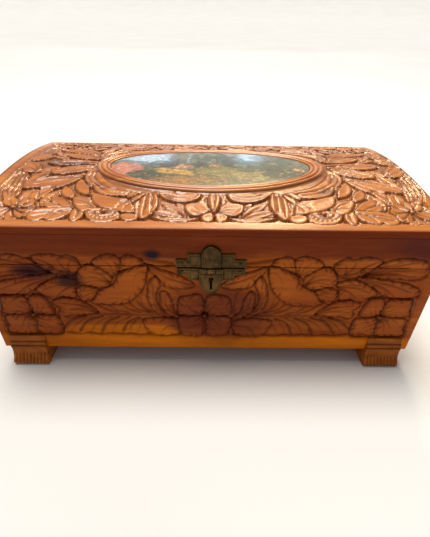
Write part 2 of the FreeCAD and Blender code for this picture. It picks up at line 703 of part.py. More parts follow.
def make_lock_plate():
    """The lower plate, on the body, with a tapering boss that holds the keyhole."""
    body = stepped_plate("lock_plate", -1, "(Sizes.plate_half_width - 0.5)",
                         ("Sizes.lock_step", "Sizes.lock_low"))
    boss = new_sketch(body, "boss", "XZ_Plane")
    points = [("-7.5", "-Sizes.plate_gap"), ("-7.5", "-9.5"), ("-5.5", "-16"),
              ("5.5", "-16"), ("7.5", "-9.5"), ("7.5", "-Sizes.plate_gap")]
    polygon(boss, points, {2: "-6.2"})
    extrude(body, "Pad", boss, "Sizes.boss_thick")
    slot = new_sketch(body, "keyhole_slot", "XZ_Plane")
    rectangle(slot, "-Sizes.keyhole_radius / 2", "Sizes.keyhole_radius / 2",
              "-Sizes.keyhole_depth - Sizes.keyhole_slot", "-Sizes.keyhole_depth")
    cut_checked(body, slot)
    eye = new_sketch(body, "keyhole_eye", "XZ_Plane")
    circle(eye, "0", "-Sizes.keyhole_depth", "Sizes.keyhole_radius")
    cut_checked(body, eye)
    drill_plate(body, "Sizes.nail_x", "-Sizes.lock_nail_z")


# ---------------------------------------------------------------- lock

def place_in_lock(body, x="0"):
    place(body, f"Sizes.lock_offset + {x}", f"-{LOCK_Y}", BODY_RIM)


def make_lock_case():
    """A tray that is open to the front, with a slot in its top for the tongue."""
    body = new_body("lock_case")
    half_x = "(Sizes.mortise_half_width - Sizes.case_gap)"
    half_y = "((Sizes.mortise_front - Sizes.mortise_back) / 2 - Sizes.case_gap)"
    tall = "(Sizes.mortise_depth - Sizes.case_gap)"
    outline = new_sketch(body, "outline", "XY_Plane")
    rectangle(outline, f"-{half_x}", half_x, f"-{half_y}", half_y)
    extrude(body, "Pad", outline, tall, reverse=True)

    wall = "Sizes.case_wall"
    ledge = "-Sizes.ledge_top"
    hollow = new_sketch(body, "hollow", "XZ_Plane", half_y)
    points = [(f"-{half_x} + {wall}", f"-{wall}"), (f"-{half_x} + {wall}", ledge),
              ("-2.6", ledge), ("-2.6", f"{ledge} - 0.8"),
              (f"-{half_x} + {wall}", f"{ledge} - 0.8"), (f"-{half_x} + {wall}", f"-{tall} + {wall}"),
              (f"{half_x} - {wall}", f"-{tall} + {wall}"), (f"{half_x} - {wall}", f"-{wall}")]
    polygon(hollow, points)
    cut_checked(body, hollow, f"2 * {half_y} - {wall}")

    slot = new_sketch(body, "tongue_slot", "XY_Plane")
    rectangle(slot, "Sizes.tongue_offset - 1.2", "Sizes.tongue_offset + 1.2", "-1.95", "1.85")
    cut_checked(body, slot, "2 * Sizes.case_wall")
    place_in_lock(body)


def make_lock_bolt():
    """The sliding bolt: a thick body with a notch for the key, and a thin nose."""
    body = new_body("lock_bolt")
    top = "-Sizes.bolt_top"
    bottom = "-Sizes.bolt_bottom"
    tail = "(0.1 - Sizes.ledge_top)"
    outline = new_sketch(body, "outline", "XZ_Plane")
    points = [("-8", top), ("-8", tail), ("-5.2", tail), ("-5.2", bottom), ("-1.8", bottom),
              ("-1.8", f"{bottom} + 0.8"), ("1.8", f"{bottom} + 0.8"), ("1.8", bottom),
              ("2.2", bottom), ("2.2", top)]
    polygon(outline, points)
    extrude(body, "Pad", outline, "Sizes.bolt_thick", symmetric=True)
    nose = new_sketch(body, "nose", "XZ_Plane")
    rectangle(nose, "2", "5.2", bottom, top)
    extrude(body, "Pad", nose, "Sizes.nose_thick", symmetric=True)
    place_in_lock(body)


def make_lock_spring():
    """A bent leaf spring that presses on the bolt's top edge."""
    body = new_body("lock_spring")
    outline = new_sketch(body, "outline", "XZ_Plane")
    low = "0.1 - Sizes.bolt_top"
    points = [("-11.2", "-1.9"), ("-11.2", "-2.3"), ("-3", low), ("-1", f"{low} + 0.7"),
              ("-1", f"{low} + 1.1"), ("-3", f"{low} + 0.4")]
    polygon(outline, points)
    extrude(body, "Pad", outline, "2.4", symmetric=True)
    place_in_lock(body)


def make_key_post():
    """The round post that a hollow key turns on."""
    post = doc.addObject("Part::Cylinder", "lock_key_post")
    post.Label = "lock_key_post"
    post.setExpression("Height", "(Sizes.mortise_front - Sizes.mortise_back) + 1")
    post.setExpression("Radius", "Sizes.post_radius")
    upright = FreeCAD.Rotation(FreeCAD.Vector(1, 0, 0), 90)
    post.Placement = FreeCAD.Placement(FreeCAD.Vector(0, 0, 0), upright)
    post.setExpression("Placement.Base.x", "Sizes.lock_offset")
    post.setExpression("Placement.Base.y", "-Sizes.mortise_back - Sizes.case_gap - Sizes.case_wall")
    post.setExpression("Placement.Base.z", "Sizes.seam_height - Sizes.keyhole_depth")


def make_catch_tongue():
    """The plate under the lid with a pierced tongue that the bolt passes through."""
    body = new_body("catch_tongue")
    plate = new_sketch(body, "plate", "XY_Plane", "Sizes.saw_cut")
    rectangle(plate, "-8", "8", "-2.2", "2.2")
    extrude(body, "Pad", plate, "Sizes.hinge_leaf")
    tongue = new_sketch(body, "tongue", "XY_Plane", "-Sizes.tongue_length")
    rectangle(tongue, "-0.7", "0.7", "-1.6", "1.6")
    extrude(body, "Pad", tongue, "Sizes.tongue_length + Sizes.saw_cut + Sizes.hinge_leaf / 2")
    window = new_sketch(body, "window", "YZ_Plane")
    rectangle(window, "-0.9", "0.9", "-Sizes.bolt_bottom - 0.5", "0.4 - Sizes.bolt_top")
    cut_checked(body, window)
    screws = new_sketch(body, "screws", "XZ_Plane", None, ("Sizes.tongue_screw_x", "0"))
    countersink(screws, "Sizes.saw_cut", 1)
    repeat(body, [groove(body, screws)], mirrors=["YZ_Plane"])
    place_in_lock(body, "Sizes.tongue_offset")


def make_lock():
    make_catch_plate()
    make_lock_plate()
    make_pins("catch_pins", "Sizes.nail_x", "Sizes.catch_nail_z")
    make_pins("lock_pins", "Sizes.nail_x", "-Sizes.lock_nail_z")
    make_lock_case()
    make_lock_bolt()
    make_lock_spring()
    make_key_post()
    make_catch_tongue()
    screws = make_screws("tongue_screws", "Sizes.screw_length", "Sizes.tongue_screw_x", mirrors=["YZ_Plane"])
    place(screws, "Sizes.lock_offset + Sizes.tongue_offset", f"-{LOCK_Y}", LID_RIM, tilt="180")


# ---------------------------------------------------------------- assembly

make_case_boards()
make_bottom()
make_top()
make_picture()
for end_name, side_y in (("front", -1), ("back", 1)):
    for side_name, side_x in (("left", -1), ("right", 1)):
        make_foot(f"foot_{end_name}_{side_name}", side_x, side_y)
foot_screws = make_screws("foot_screws", "Sizes.foot_screw_length",
                          f"Sizes.foot_inset - {FOOT_SCREW_SPREAD}", FOOT_SCREW_Y,
                          row=str(2 * FOOT_SCREW_SPREAD), mirrors=["YZ_Plane", "XZ_Plane"])
place(foot_screws, z="Sizes.foot_screw_sink", tilt="180")
make_hinges()
make_lock()
doc.recompute()

# ---------------------------------------------------------------- checks and export

for item in doc.Objects:
    if "Invalid" in item.State or "Error" in item.State:
        raise RuntimeError(f"{item.Name} failed: {item.State}")

pieces = [item for item in doc.Objects
          if item.TypeId == "PartDesign::Body" or item.TypeId == "Part::Cylinder"]
for piece in pieces:
    if piece.Shape.isNull() or not piece.Shape.isValid():
        raise RuntimeError(f"{piece.Label} has no valid shape")
for piece in pieces:
    piece.Shape.exportStep(f"parts/{piece.Label}.step")
    box = piece.Shape.BoundBox
    print(f"{piece.Label}: {len(piece.Shape.Solids)} solid(s), {piece.Shape.Volume:.1f} mm3, "
          f"x {box.XMin:.2f}..{box.XMax:.2f} y {box.YMin:.2f}..{box.YMax:.2f} "
          f"z {box.ZMin:.2f}..{box.ZMax:.2f}")
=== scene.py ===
# The looks of a carved cedar jewelry box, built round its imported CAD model.
# Lengths in this script are millimetres until a mesh is made; Blender's are metres.
import json
import math

import bmesh
import bpy
import numpy as np
from mathutils import Matrix, Vector


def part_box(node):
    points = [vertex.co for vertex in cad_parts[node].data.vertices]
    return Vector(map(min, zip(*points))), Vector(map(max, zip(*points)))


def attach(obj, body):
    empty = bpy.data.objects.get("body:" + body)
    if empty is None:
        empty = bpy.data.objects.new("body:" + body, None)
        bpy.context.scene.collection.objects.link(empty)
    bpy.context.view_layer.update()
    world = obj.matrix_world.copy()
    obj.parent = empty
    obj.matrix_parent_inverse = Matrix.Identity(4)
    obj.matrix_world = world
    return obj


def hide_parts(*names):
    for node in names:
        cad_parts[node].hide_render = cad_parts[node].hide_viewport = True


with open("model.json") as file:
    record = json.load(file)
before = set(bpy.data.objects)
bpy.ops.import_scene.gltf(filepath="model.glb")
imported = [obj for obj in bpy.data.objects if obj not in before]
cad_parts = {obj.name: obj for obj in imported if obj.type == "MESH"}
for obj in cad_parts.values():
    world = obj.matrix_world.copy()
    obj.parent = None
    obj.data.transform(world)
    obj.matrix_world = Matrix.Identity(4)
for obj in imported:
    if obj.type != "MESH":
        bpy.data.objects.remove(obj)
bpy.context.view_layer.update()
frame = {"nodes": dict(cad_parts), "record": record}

MM = 0.001


def box_mm(node):
    """A node's lowest and highest corners in millimetres."""
    low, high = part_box(node)
    return np.array(low) / MM, np.array(high) / MM


# ---------------------------------------------------------------- sizes taken from the frame

TOP_LOW, TOP_HIGH = box_mm("lid_top")
WALL_LOW, WALL_HIGH = box_mm("body_front")
HALF_X = TOP_HIGH[0]                 # half of the lid's width
HALF_Y = TOP_HIGH[1]                 # half of the lid's depth
RAIL_TOP = TOP_LOW[2]
EDGE_THICK = 4.0                     # height of the top board's upright edge
EDGE_TOP = RAIL_TOP + EDGE_THICK
CROWN = 8.0                          # rise of the dome above that edge
DOME_RADIUS = (HALF_Y ** 2 + CROWN ** 2) / (2 * CROWN)
WALL_SLOPE = 0.0375                  # inward lean of every wall per millimetre of height
SEAM = (box_mm("lid_front")[0][2] + WALL_HIGH[2]) / 2     # the middle of the saw cut
BASE = WALL_LOW[2]
BOARD = 9.5                          # thickness of the walls
PRINT_LOW, PRINT_HIGH = box_mm("picture_print")
OVAL = (PRINT_LOW + PRINT_HIGH)[:2] / 2          # the picture's centre
OVAL_HALF = (PRINT_HIGH - PRINT_LOW)[:2] / 2
PLATE_LOW, PLATE_HIGH = box_mm("catch_plate")
LOCK_X = (PLATE_LOW[0] + PLATE_HIGH[0]) / 2


def half_width(z):
    return HALF_X - WALL_SLOPE * (EDGE_TOP - z)


def half_depth(z):
    return HALF_Y - WALL_SLOPE * (EDGE_TOP - z)


def dome(y):
    """Height of the uncarved lid."""
    return EDGE_TOP + CROWN - DOME_RADIUS + np.sqrt(DOME_RADIUS ** 2 - y ** 2)


# ---------------------------------------------------------------- smooth noise

NOISE_CELLS = 64                     # the noise repeats after this many features
NOISE_SHIFT = (31.7, 17.3)           # keeps the box's middle off a corner of the noise's grid
FRACTAL_SUM = 1.9                    # about what the octaves' shares add up to


def noise(x, y, seed, scale):
    """Smooth value noise from -1 to 1 on arrays, with features about scale wide."""
    table = np.random.default_rng(seed).uniform(-1, 1, (NOISE_CELLS, NOISE_CELLS))
    gx, gy = x / scale + NOISE_SHIFT[0], y / scale + NOISE_SHIFT[1]
    ix, iy = np.floor(gx).astype(int), np.floor(gy).astype(int)
    fx, fy = gx - ix, gy - iy
    fx, fy = fx * fx * (3 - 2 * fx), fy * fy * (3 - 2 * fy)
    left, right = ix % NOISE_CELLS, (ix + 1) % NOISE_CELLS
    under, over = iy % NOISE_CELLS, (iy + 1) % NOISE_CELLS
    low = table[left, under] * (1 - fx) + table[right, under] * fx
    high = table[left, over] * (1 - fx) + table[right, over] * fx
    return low * (1 - fy) + high * fy


def fractal(x, y, seed, scale, octaves=4):
    """Noise with finer noise added, each octave half as wide and half as strong."""
    total = sum(noise(x, y, seed + k, scale / 2 ** k) / 2 ** k for k in range(octaves))
    return total / FRACTAL_SUM


def smooth(low, high, value):
    """0 below low, 1 above high, with a smooth step between."""
    t = np.clip((value - low) / (high - low), 0, 1)
    return t * t * (3 - 2 * t)


# ---------------------------------------------------------------- carving

def curve(points, closed):
    """A smooth line through the points, as many short runs."""
    points = np.array(points, float)
    if closed:
        before, after, last = np.roll(points, 1, 0), np.roll(points, -1, 0), np.roll(points, -2, 0)
    else:
        ends = np.concatenate([2 * points[:1] - points[1:2], points, 2 * points[-1:] - points[-2:-1]])
        before, points, after, last = ends[:-3], ends[1:-2], ends[2:-1], ends[3:]
    t = np.linspace(0, 1, 7)[:-1, None, None]
    line = 0.5 * (2 * points + (after - before) * t + (2 * before - 5 * points + 4 * after - last) * t ** 2
                  + (3 * points - before - 3 * after + last) * t ** 3)
    line = line.transpose(1, 0, 2).reshape(-1, 2)
    return np.concatenate([line, line[:1] if closed else after[-1:]])


class Relief:
    """A height field in millimetres, carved element by element, later ones on top."""

    def __init__(self, x, y, shadow, edge, gap, shade_halo, folds, bold, waver=0.3, nicks=0.0):
        self.x, self.y = x, y
        self.height = np.zeros_like(x)
        self.groove = np.zeros_like(x)       # painted shade: 0 on open wood, 1 in the darkest cuts
        self.shadow = shadow                 # how deep an outline is cut round an element
        self.edge = edge                     # how far an element's rim rolls down
        self.gap = gap                       # width of that outline
        self.shade_halo = shade_halo                     # and how much shade is painted on the wood beside it
        self.folds = folds                   # how high the folds along a petal stand
        self.bold = bold                     # how wide and deep the cuts are
        self.hand = fractal(x, y, 77, 4.5, 3)    # the carver's hand
        self.waver = waver                   # and how far it strays from an outline
        self.nicks = nicks                   # spacing of the short cuts along a petal's edge
        self.random = np.random.default_rng(79)

    def window(self, low, high):
        """The part of the grid between two corners, or None where it is empty."""
        rows = np.where((self.y[:, 0] >= low[1]) & (self.y[:, 0] <= high[1]))[0]
        columns = np.where((self.x[-1] >= low[0]) & (self.x[-1] <= high[0]))[0]
        if len(rows) == 0 or len(columns) == 0:
            return None
        return slice(rows[0], rows[-1] + 1), slice(columns[0], columns[-1] + 1)

    def stamp(self, part, distance, surface, crease_shade):
        """Lays a surface where distance is positive and cuts an outline round it, with painted shade in the
        outline and beside it.
        """
        inside = distance > 0
        rim = np.exp(-(distance / self.gap) ** 2)
        shade_halo = self.shade_halo * np.exp(-np.abs(distance) / (3 * self.gap))
        height = np.where(inside, surface - self.edge * rim, self.height[part] - self.shadow * rim)
        # painted shade: the outline's rim and the band beside it darken the wood
        outer = np.maximum(self.groove[part], np.maximum(rim, shade_halo))
        self.height[part] = height
        self.groove[part] = np.where(inside, np.maximum(crease_shade, np.maximum(0.8 * rim, 0.7 * shade_halo)), outer)

    def leaf(self, base, tip, width, bend=0.0, peak=0.5, blunt=0.7, top=0.0, scoop=0.5,
             rib=0.0, veins=0, lobes=0, tilt=0.0):
        """A leaf or petal along a bent spine; peak is where it is widest."""
        base, tip = np.array(base, float), np.array(tip, float)
        axis = tip - base
        length = np.hypot(*axis)
        control = (base + tip) / 2 + np.array([-axis[1], axis[0]]) * bend
        steps = np.linspace(0, 1, 17)[:, None]
        spine = (1 - steps) ** 2 * base + 2 * steps * (1 - steps) * control + steps ** 2 * tip
        part, off, along, side = self.near_line(spine, width / 2 + 3 * self.gap + 3)
        if part is None:
            return
        half = width / 2 * np.sin(math.pi * along ** (math.log(0.5) / math.log(peak))) ** blunt
        if lobes:
            half = half * (0.8 + 0.2 * np.abs(np.sin(lobes * math.pi * along)) ** 0.5)
        across = np.clip(off / np.maximum(half, 0.05), 0, 1)
        surface = top - scoop * (1 - across ** 2) * np.sin(math.pi * along) ** 0.5
        surface = surface + tilt * side * across
        # crease_shade: painted shade in the rib's and the veins' grooves
        crease_shade = np.zeros(off.shape)
        if rib:
            line = np.exp(-(off / 0.55) ** 2) * smooth(1.0, 0.75, along)
            surface = surface - rib * line
            crease_shade = np.maximum(crease_shade, 0.8 * line)
        if veins:
            phase = along * veins - across * 0.9
            spread = (phase - np.round(phase)) * length / veins
            line = np.exp(-(spread / 0.5) ** 2) * (1 - across ** 3) * smooth(0, 0.2, across)
            surface = surface - 0.28 * line
            crease_shade = np.maximum(crease_shade, 0.5 * line)
        self.stamp(part, half - off, surface, crease_shade)

    def near_line(self, line, reach):
        """The grid's window round a line, the distance to it, how far along it and on which side."""
        part = self.window(line.min(0) - reach, line.max(0) + reach)
        if part is None:
            return None, None, None, None
        x, y = self.x[part], self.y[part]
        nearest, along, side = np.full(x.shape, 1e9), np.zeros(x.shape), np.zeros(x.shape)
        for step, (start, end) in enumerate(zip(line[:-1], line[1:])):
            run = end - start
            k = ((x - start[0]) * run[0] + (y - start[1]) * run[1]) / max(run @ run, 1e-9)
            k = np.clip(k, 0, 1)
            dx, dy = x - start[0] - k * run[0], y - start[1] - k * run[1]
            squared = dx * dx + dy * dy
            closer = squared < nearest
            nearest = np.where(closer, squared, nearest)
            along = np.where(closer, (step + k) / (len(line) - 1), along)
            side = np.where(closer, np.sign(run[0] * dy - run[1] * dx), side)
        return part, np.sqrt(nearest), along, side

    def patch(self, points, top=0.0, scoop=0.3, lean=(0.0, 0.0)):
        """A petal or leaf of any outline; scoop hollows it, and below 0 it swells."""
        line = curve(points, closed=True)
        part, off, _, _ = self.near_line(line, 4 * self.gap + 1)
        if part is None:
            return
        x, y = self.x[part], self.y[part]
        inside = np.zeros(x.shape, dtype=bool)
        for (ax, ay), (bx, by) in zip(line[:-1], line[1:]):
            if ay != by:
                crossing = (ay > y) != (by > y)
                inside ^= crossing & (x < (bx - ax) * (y - ay) / (by - ay) + ax)
        middle = line.mean(0)
        size = np.ptp(line, axis=0).max() / 2
        dx, dy = x - middle[0], y - middle[1]
        surface = top - scoop * (1 - np.exp(-off / 2.6))
        surface = surface + (lean[0] * dx + lean[1] * dy) / size
        axis = np.linalg.svd(line - middle, full_matrices=False)[2][0]
        run, across = dx * axis[0] + dy * axis[1], dy * axis[0] - dx * axis[1]
        fold = fractal(run * 0.14, across + 0.012 * run ** 2, 78, 3.8, 2)
        surface = surface + self.folds * fold
        # painted shade in the low parts of the folds
        crease_shade = min(1, 2 * self.folds) * 0.5 * smooth(0.1, 0.6, -fold)
        self.stamp(part, np.where(inside, off, -off) + self.waver * self.hand[part], surface, crease_shade)
        if self.nicks:
            self.nick(line, middle)

    def nick(self, line, middle):
        """Short slanting cuts inwards from an outline."""
        run = np.hypot(*np.diff(line, axis=0).T)
        reached = np.concatenate([[0], np.cumsum(run)])
        at = self.nicks * 0.5
        while at < reached[-1]:
            start = np.array([np.interp(at, reached, line[:, k]) for k in (0, 1)])
            ahead = np.array([np.interp(at + 0.5, reached, line[:, k]) for k in (0, 1)]) - start
            inwards = middle - start
            inwards /= max(np.hypot(*inwards), 1e-6)
            length = self.random.uniform(2.2, 5.2)
            end = start + length * (0.8 * inwards + 1.1 * ahead)
            bend = (start + end) / 2 + 0.25 * inwards
            self.stroke([start, bend, end], width=0.8, depth=0.35, taper=0.6, dark=0.9)
            at += self.nicks * self.random.uniform(0.6, 1.5)

    def stroke(self, points, width=0.7, depth=0.45, taper=0.6, dark=0.85):
        """A cut along a smooth line, narrowing towards its end, with painted shade in it."""
        part, off, along, _ = self.near_line(curve(points, closed=False), 3 * width)
        if part is None:
            return
        width = width * self.bold * (1 - taper * along) * (1 + 0.9 * self.hand[part])
        cut = np.exp(-(off / np.maximum(width, 0.12)) ** 2) * (1 - 0.5 * taper * along)
        self.height[part] -= depth * self.bold * cut
        # painted shade in the cut
        self.groove[part] = np.maximum(self.groove[part], dark * cut)

    def button(self, centre, radius, top=0.3, dots=0):
        """A domed flower centre, with a ring of small dots round it."""
        part = self.window(np.array(centre) - radius - 3, np.array(centre) + radius + 3)
        if part is None:
            return
        dx, dy = self.x[part] - centre[0], self.y[part] - centre[1]
        off = np.hypot(dx, dy)
        surface = top + 0.5 * np.sqrt(np.clip(1 - (off / radius) ** 2, 0, 1))
        self.stamp(part, radius - off, surface, np.zeros(off.shape))
        for number in range(dots):
            turn = 2 * math.pi * number / dots
            reach = radius * (1.75 if number % 2 else 1.45)
            self.bump((centre[0] + reach * math.cos(turn), centre[1] + reach * math.sin(turn)), 0.75)

    def bump(self, centre, radius, rise=0.55):
        """A small bead in a ring of painted shade."""
        part = self.window(np.array(centre) - 3, np.array(centre) + 3)
        if part is None:
            return
        off = np.hypot(self.x[part] - centre[0], self.y[part] - centre[1])
        self.height[part] += rise * np.exp(-(off / radius) ** 4)
        # painted shade round the bead
        self.groove[part] = np.maximum(self.groove[part], 0.7 * np.exp(-((off - 1.5 * radius) / 0.5) ** 2))

    def flower(self, centre, count, length, width, phase=0.0, top=0.0, scoop=0.8, **look):
        """An open flower: petals round a button with stamens."""
        for number in range(count):
            turn = phase + 2 * math.pi * number / count
            tip = (centre[0] + length * math.cos(turn), centre[1] + length * math.sin(turn))
            self.leaf(centre, tip, width, peak=0.68, blunt=0.42, top=top - 0.15 * (number % 2),
                      scoop=scoop, **look)
        self.button(centre, length * 0.13, top + 0.1, dots=12)


class Placed:
    """Calls a Relief's elements through a mirror, a scale and a shift."""

    def __init__(self, relief, scale=(1.0, 1.0), shift=(0.0, 0.0)):
        self.relief, self.scale, self.shift = relief, scale, shift
        self.flip = math.copysign(1, scale[0] * scale[1])

    def at(self, point):
        return tuple(p * k + s for p, k, s in zip(point, self.scale, self.shift))

    def leaf(self, base, tip, width, bend=0.0, tilt=0.0, **look):
        self.relief.leaf(self.at(base), self.at(tip), width, bend=bend * self.flip,
                         tilt=tilt * self.flip, **look)

    def patch(self, *points, lean=(0.0, 0.0), **look):
        lean = (lean[0] * math.copysign(1, self.scale[0]), lean[1] * math.copysign(1, self.scale[1]))
        self.relief.patch([self.at(point) for point in points], lean=lean, **look)

    def stroke(self, *points, **look):
        self.relief.stroke([self.at(point) for point in points], **look)

    def strokes(self, start, *ends, bow=0.12, **look):
        """Cuts that fan out from one point, each a little bowed."""
        for end in ends:
            middle = ((start[0] + end[0]) / 2 - bow * (end[1] - start[1]),
                      (start[1] + end[1]) / 2 + bow * (end[0] - start[0]))
            self.stroke(start, middle, end, **look)

    def flower(self, centre, count, length, width, phase=0.0, **look):
        angle = math.atan2(math.sin(phase) * self.scale[1], math.cos(phase) * self.scale[0])
        self.relief.flower(self.at(centre), count, length, width, angle, **look)

    def button(self, centre, radius, **look):
        self.relief.button(self.at(centre), radius, **look)

    def bump(self, centre, radius, **look):
        self.relief.bump(self.at(centre), radius, **look)


# ---------------------------------------------------------------- the lid's pattern

LID_GROUND = -1.7
LID_CENTRE = 3.5                     # the pattern's middle, as the box's carver set it out
RING_WIDTH = np.array([10.6, 9.2])   # of the rings round the picture, at its ends and its sides
RING_SEAT = -1.0                     # how low the ground lies under them
BACK_SCALE = -0.78                   # the lid's back half is its front half, mirrored and flatter
BACK_SHIFT = 17.1


def oval_distance(x, y, grow=0.0):
    """Signed distance to the picture's edge, moved outwards by grow."""
    a, b = OVAL_HALF + grow
    dx, dy = x - OVAL[0], y - OVAL[1]
    level = (dx / a) ** 2 + (dy / b) ** 2 - 1
    slope = 2 * np.sqrt((dx / a ** 2) ** 2 + (dy / b ** 2) ** 2)
    return level / np.maximum(slope, 1e-4)


def field_mask(x, y, half_x, half_y, corner, soft):
    """1 inside a rectangle with round corners, falling to 0 over soft millimetres."""
    qx, qy = np.abs(x) - half_x + corner, np.abs(y) - half_y + corner
    distance = np.hypot(np.maximum(qx, 0), np.maximum(qy, 0)) + np.minimum(np.maximum(qx, qy), 0)
    return smooth(soft, -soft, distance - corner)


def mirrored(side, *points):
    """The points on one side of the middle: 1 is right, -1 is left."""
    return [(side * x, y) for x, y in points]


def central_flower(place):
    """The small flower in the middle of the lid's long side, with its tall middle petal."""
    for side in (-1, 1):
        place.patch(*mirrored(side, (18.5, -59), (14, -56.5), (8, -57), (4, -61), (3, -67), (8, -70),
                              (13, -71), (17.5, -66)), top=-0.2, scoop=0.7)
        place.strokes(*mirrored(side, (2, -67), (14, -60), (15, -65), (12, -69)), depth=0.4)
        place.stroke(*mirrored(side, (5, -58), (7, -51), (5, -45)), width=0.9)
    place.patch((-3.5, -46), (0, -44.5), (3.5, -46), (4, -53), (3, -61), (0, -67), (-3, -61), (-4, -53),
                top=-0.1, scoop=-0.3)
    place.stroke((0, -47), (0.4, -56), (0, -64), depth=0.5)
    for side in (-1, 1):
        place.patch(*mirrored(side, (0.5, -66), (5, -68.5), (8.5, -72), (6.5, -76.5), (2.5, -77.5),
                              (0.5, -74)), top=0.0, scoop=0.5)
        place.strokes(*mirrored(side, (1, -67), (3, -75), (6, -74)), width=0.5, depth=0.3)
    place.button((0, -66.5), 1.7, top=-0.1)


def festoon(place):
    """A hanging bowl of nested crescents."""
    place.patch((36, -43), (33.5, -50), (26.5, -54.8), (18.5, -55.8), (11.5, -53), (8.3, -45.5),
                (13, -43.2), (24, -42.4), top=-0.2, scoop=0.5, lean=(0, -0.3))
    place.stroke((34, -45), (28, -51), (20, -52.5), (12, -49.5), width=0.9, depth=0.6)
    place.stroke((32, -44.5), (26, -47.5), (19, -48.5), (11, -46), width=0.9, depth=0.6)
    place.stroke((27, -43.5), (22, -45), (16, -44.5), width=0.7)


def fan(place):
    """Grooved leaves under the festoon, and the crescent along the edge."""
    place.patch((37.5, -57.5), (30, -57), (22, -61), (16, -68), (14, -73), (22, -73.5), (32, -73),
                (38, -68), top=-0.9, scoop=0.1)
    place.leaf((15.5, -72), (24, -56.5), 7, bend=0.1, top=-0.3, scoop=0.6, rib=0.5)
    place.leaf((17, -73), (33, -57.5), 8, bend=0.08, top=-0.2, scoop=0.6, rib=0.6)
    place.leaf((18, -74), (38, -66), 7.5, bend=0.1, top=-0.3, scoop=0.7, rib=0.6)
    place.patch((38.5, -72), (31.5, -76.3), (23, -78), (14, -76.8), (8.5, -72.6), (15, -73.4),
                (27, -72.8), top=-0.1, scoop=0.3, lean=(0, -0.2))
    place.stroke((33, -73.5), (23, -75.5), (13, -74.2), width=0.6)


def tulip(place):
    """A tall closed bud with upright folds."""
    place.patch((50, -67.5), (46, -73), (42.5, -75), (38, -69.5), (35, -61), (36.5, -48), (40, -41),
                (43, -43.5), (46.5, -51), (50.5, -59), top=-0.1, scoop=0.2)
    place.stroke((40.5, -42), (39.5, -54), (38.8, -68), width=0.9, depth=0.8)
    place.stroke((43, -45), (43.2, -57), (43, -72), width=0.9, depth=0.8)
    place.stroke((47, -54), (47.3, -62), (46, -70), width=0.8, depth=0.6)
    place.leaf((56, -51), (49, -42.5), 5, bend=-0.1, top=-0.2, scoop=0.4, rib=0.4)
    place.leaf((53, -57), (45, -44), 4.5, bend=-0.1, top=-0.5, scoop=0.4)


def poppy(place):
    """A big open poppy: smooth petals behind, and a cup of stamens in front."""
    place.patch((90, -50), (83, -51.5), (76, -55), (73, -60), (74, -65.5), (81, -67), (86, -62.5),
                (89.5, -56), top=-0.5, scoop=0.5)
    place.strokes((75, -64), (86, -54), (87, -60), depth=0.35)
    place.patch((79, -45.5), (71.5, -47.8), (63, -51), (54.5, -53.5), (50.8, -61), (49.5, -69.5),
                (57, -68.5), (65, -66.5), (72, -62), (77.5, -55), top=0.0, scoop=0.6, lean=(-0.2, -0.3))
    place.stroke((55, -55), (59, -58), (61, -64), width=1.3, depth=0.7, dark=0.5)
    place.stroke((53, -58), (55.5, -62), (55.5, -67), width=0.7, depth=0.4, dark=0.5)
    place.patch((78.5, -68), (74, -63.8), (65, -65), (57, -69.5), (57.5, -75.5), (64, -78.6), (72, -78),
                (77, -73.8), top=0.0, scoop=1.1)
    for number in range(9):
        turn = math.radians(-165 + 150 * number / 8)
        for reach, size in ((4.2, 0.75), (7.2, 0.85)):
            place.bump((67.5 + 1.2 * reach * math.cos(turn), -67 + reach * math.sin(turn)), size, rise=0.7)
    place.button((67.5, -67), 2.0, top=-0.2)
    place.patch((57, -71), (51.7, -69), (46.5, -71), (45.8, -75.5), (50.6, -78), (55.2, -76), top=0.1,
                scoop=0.6)


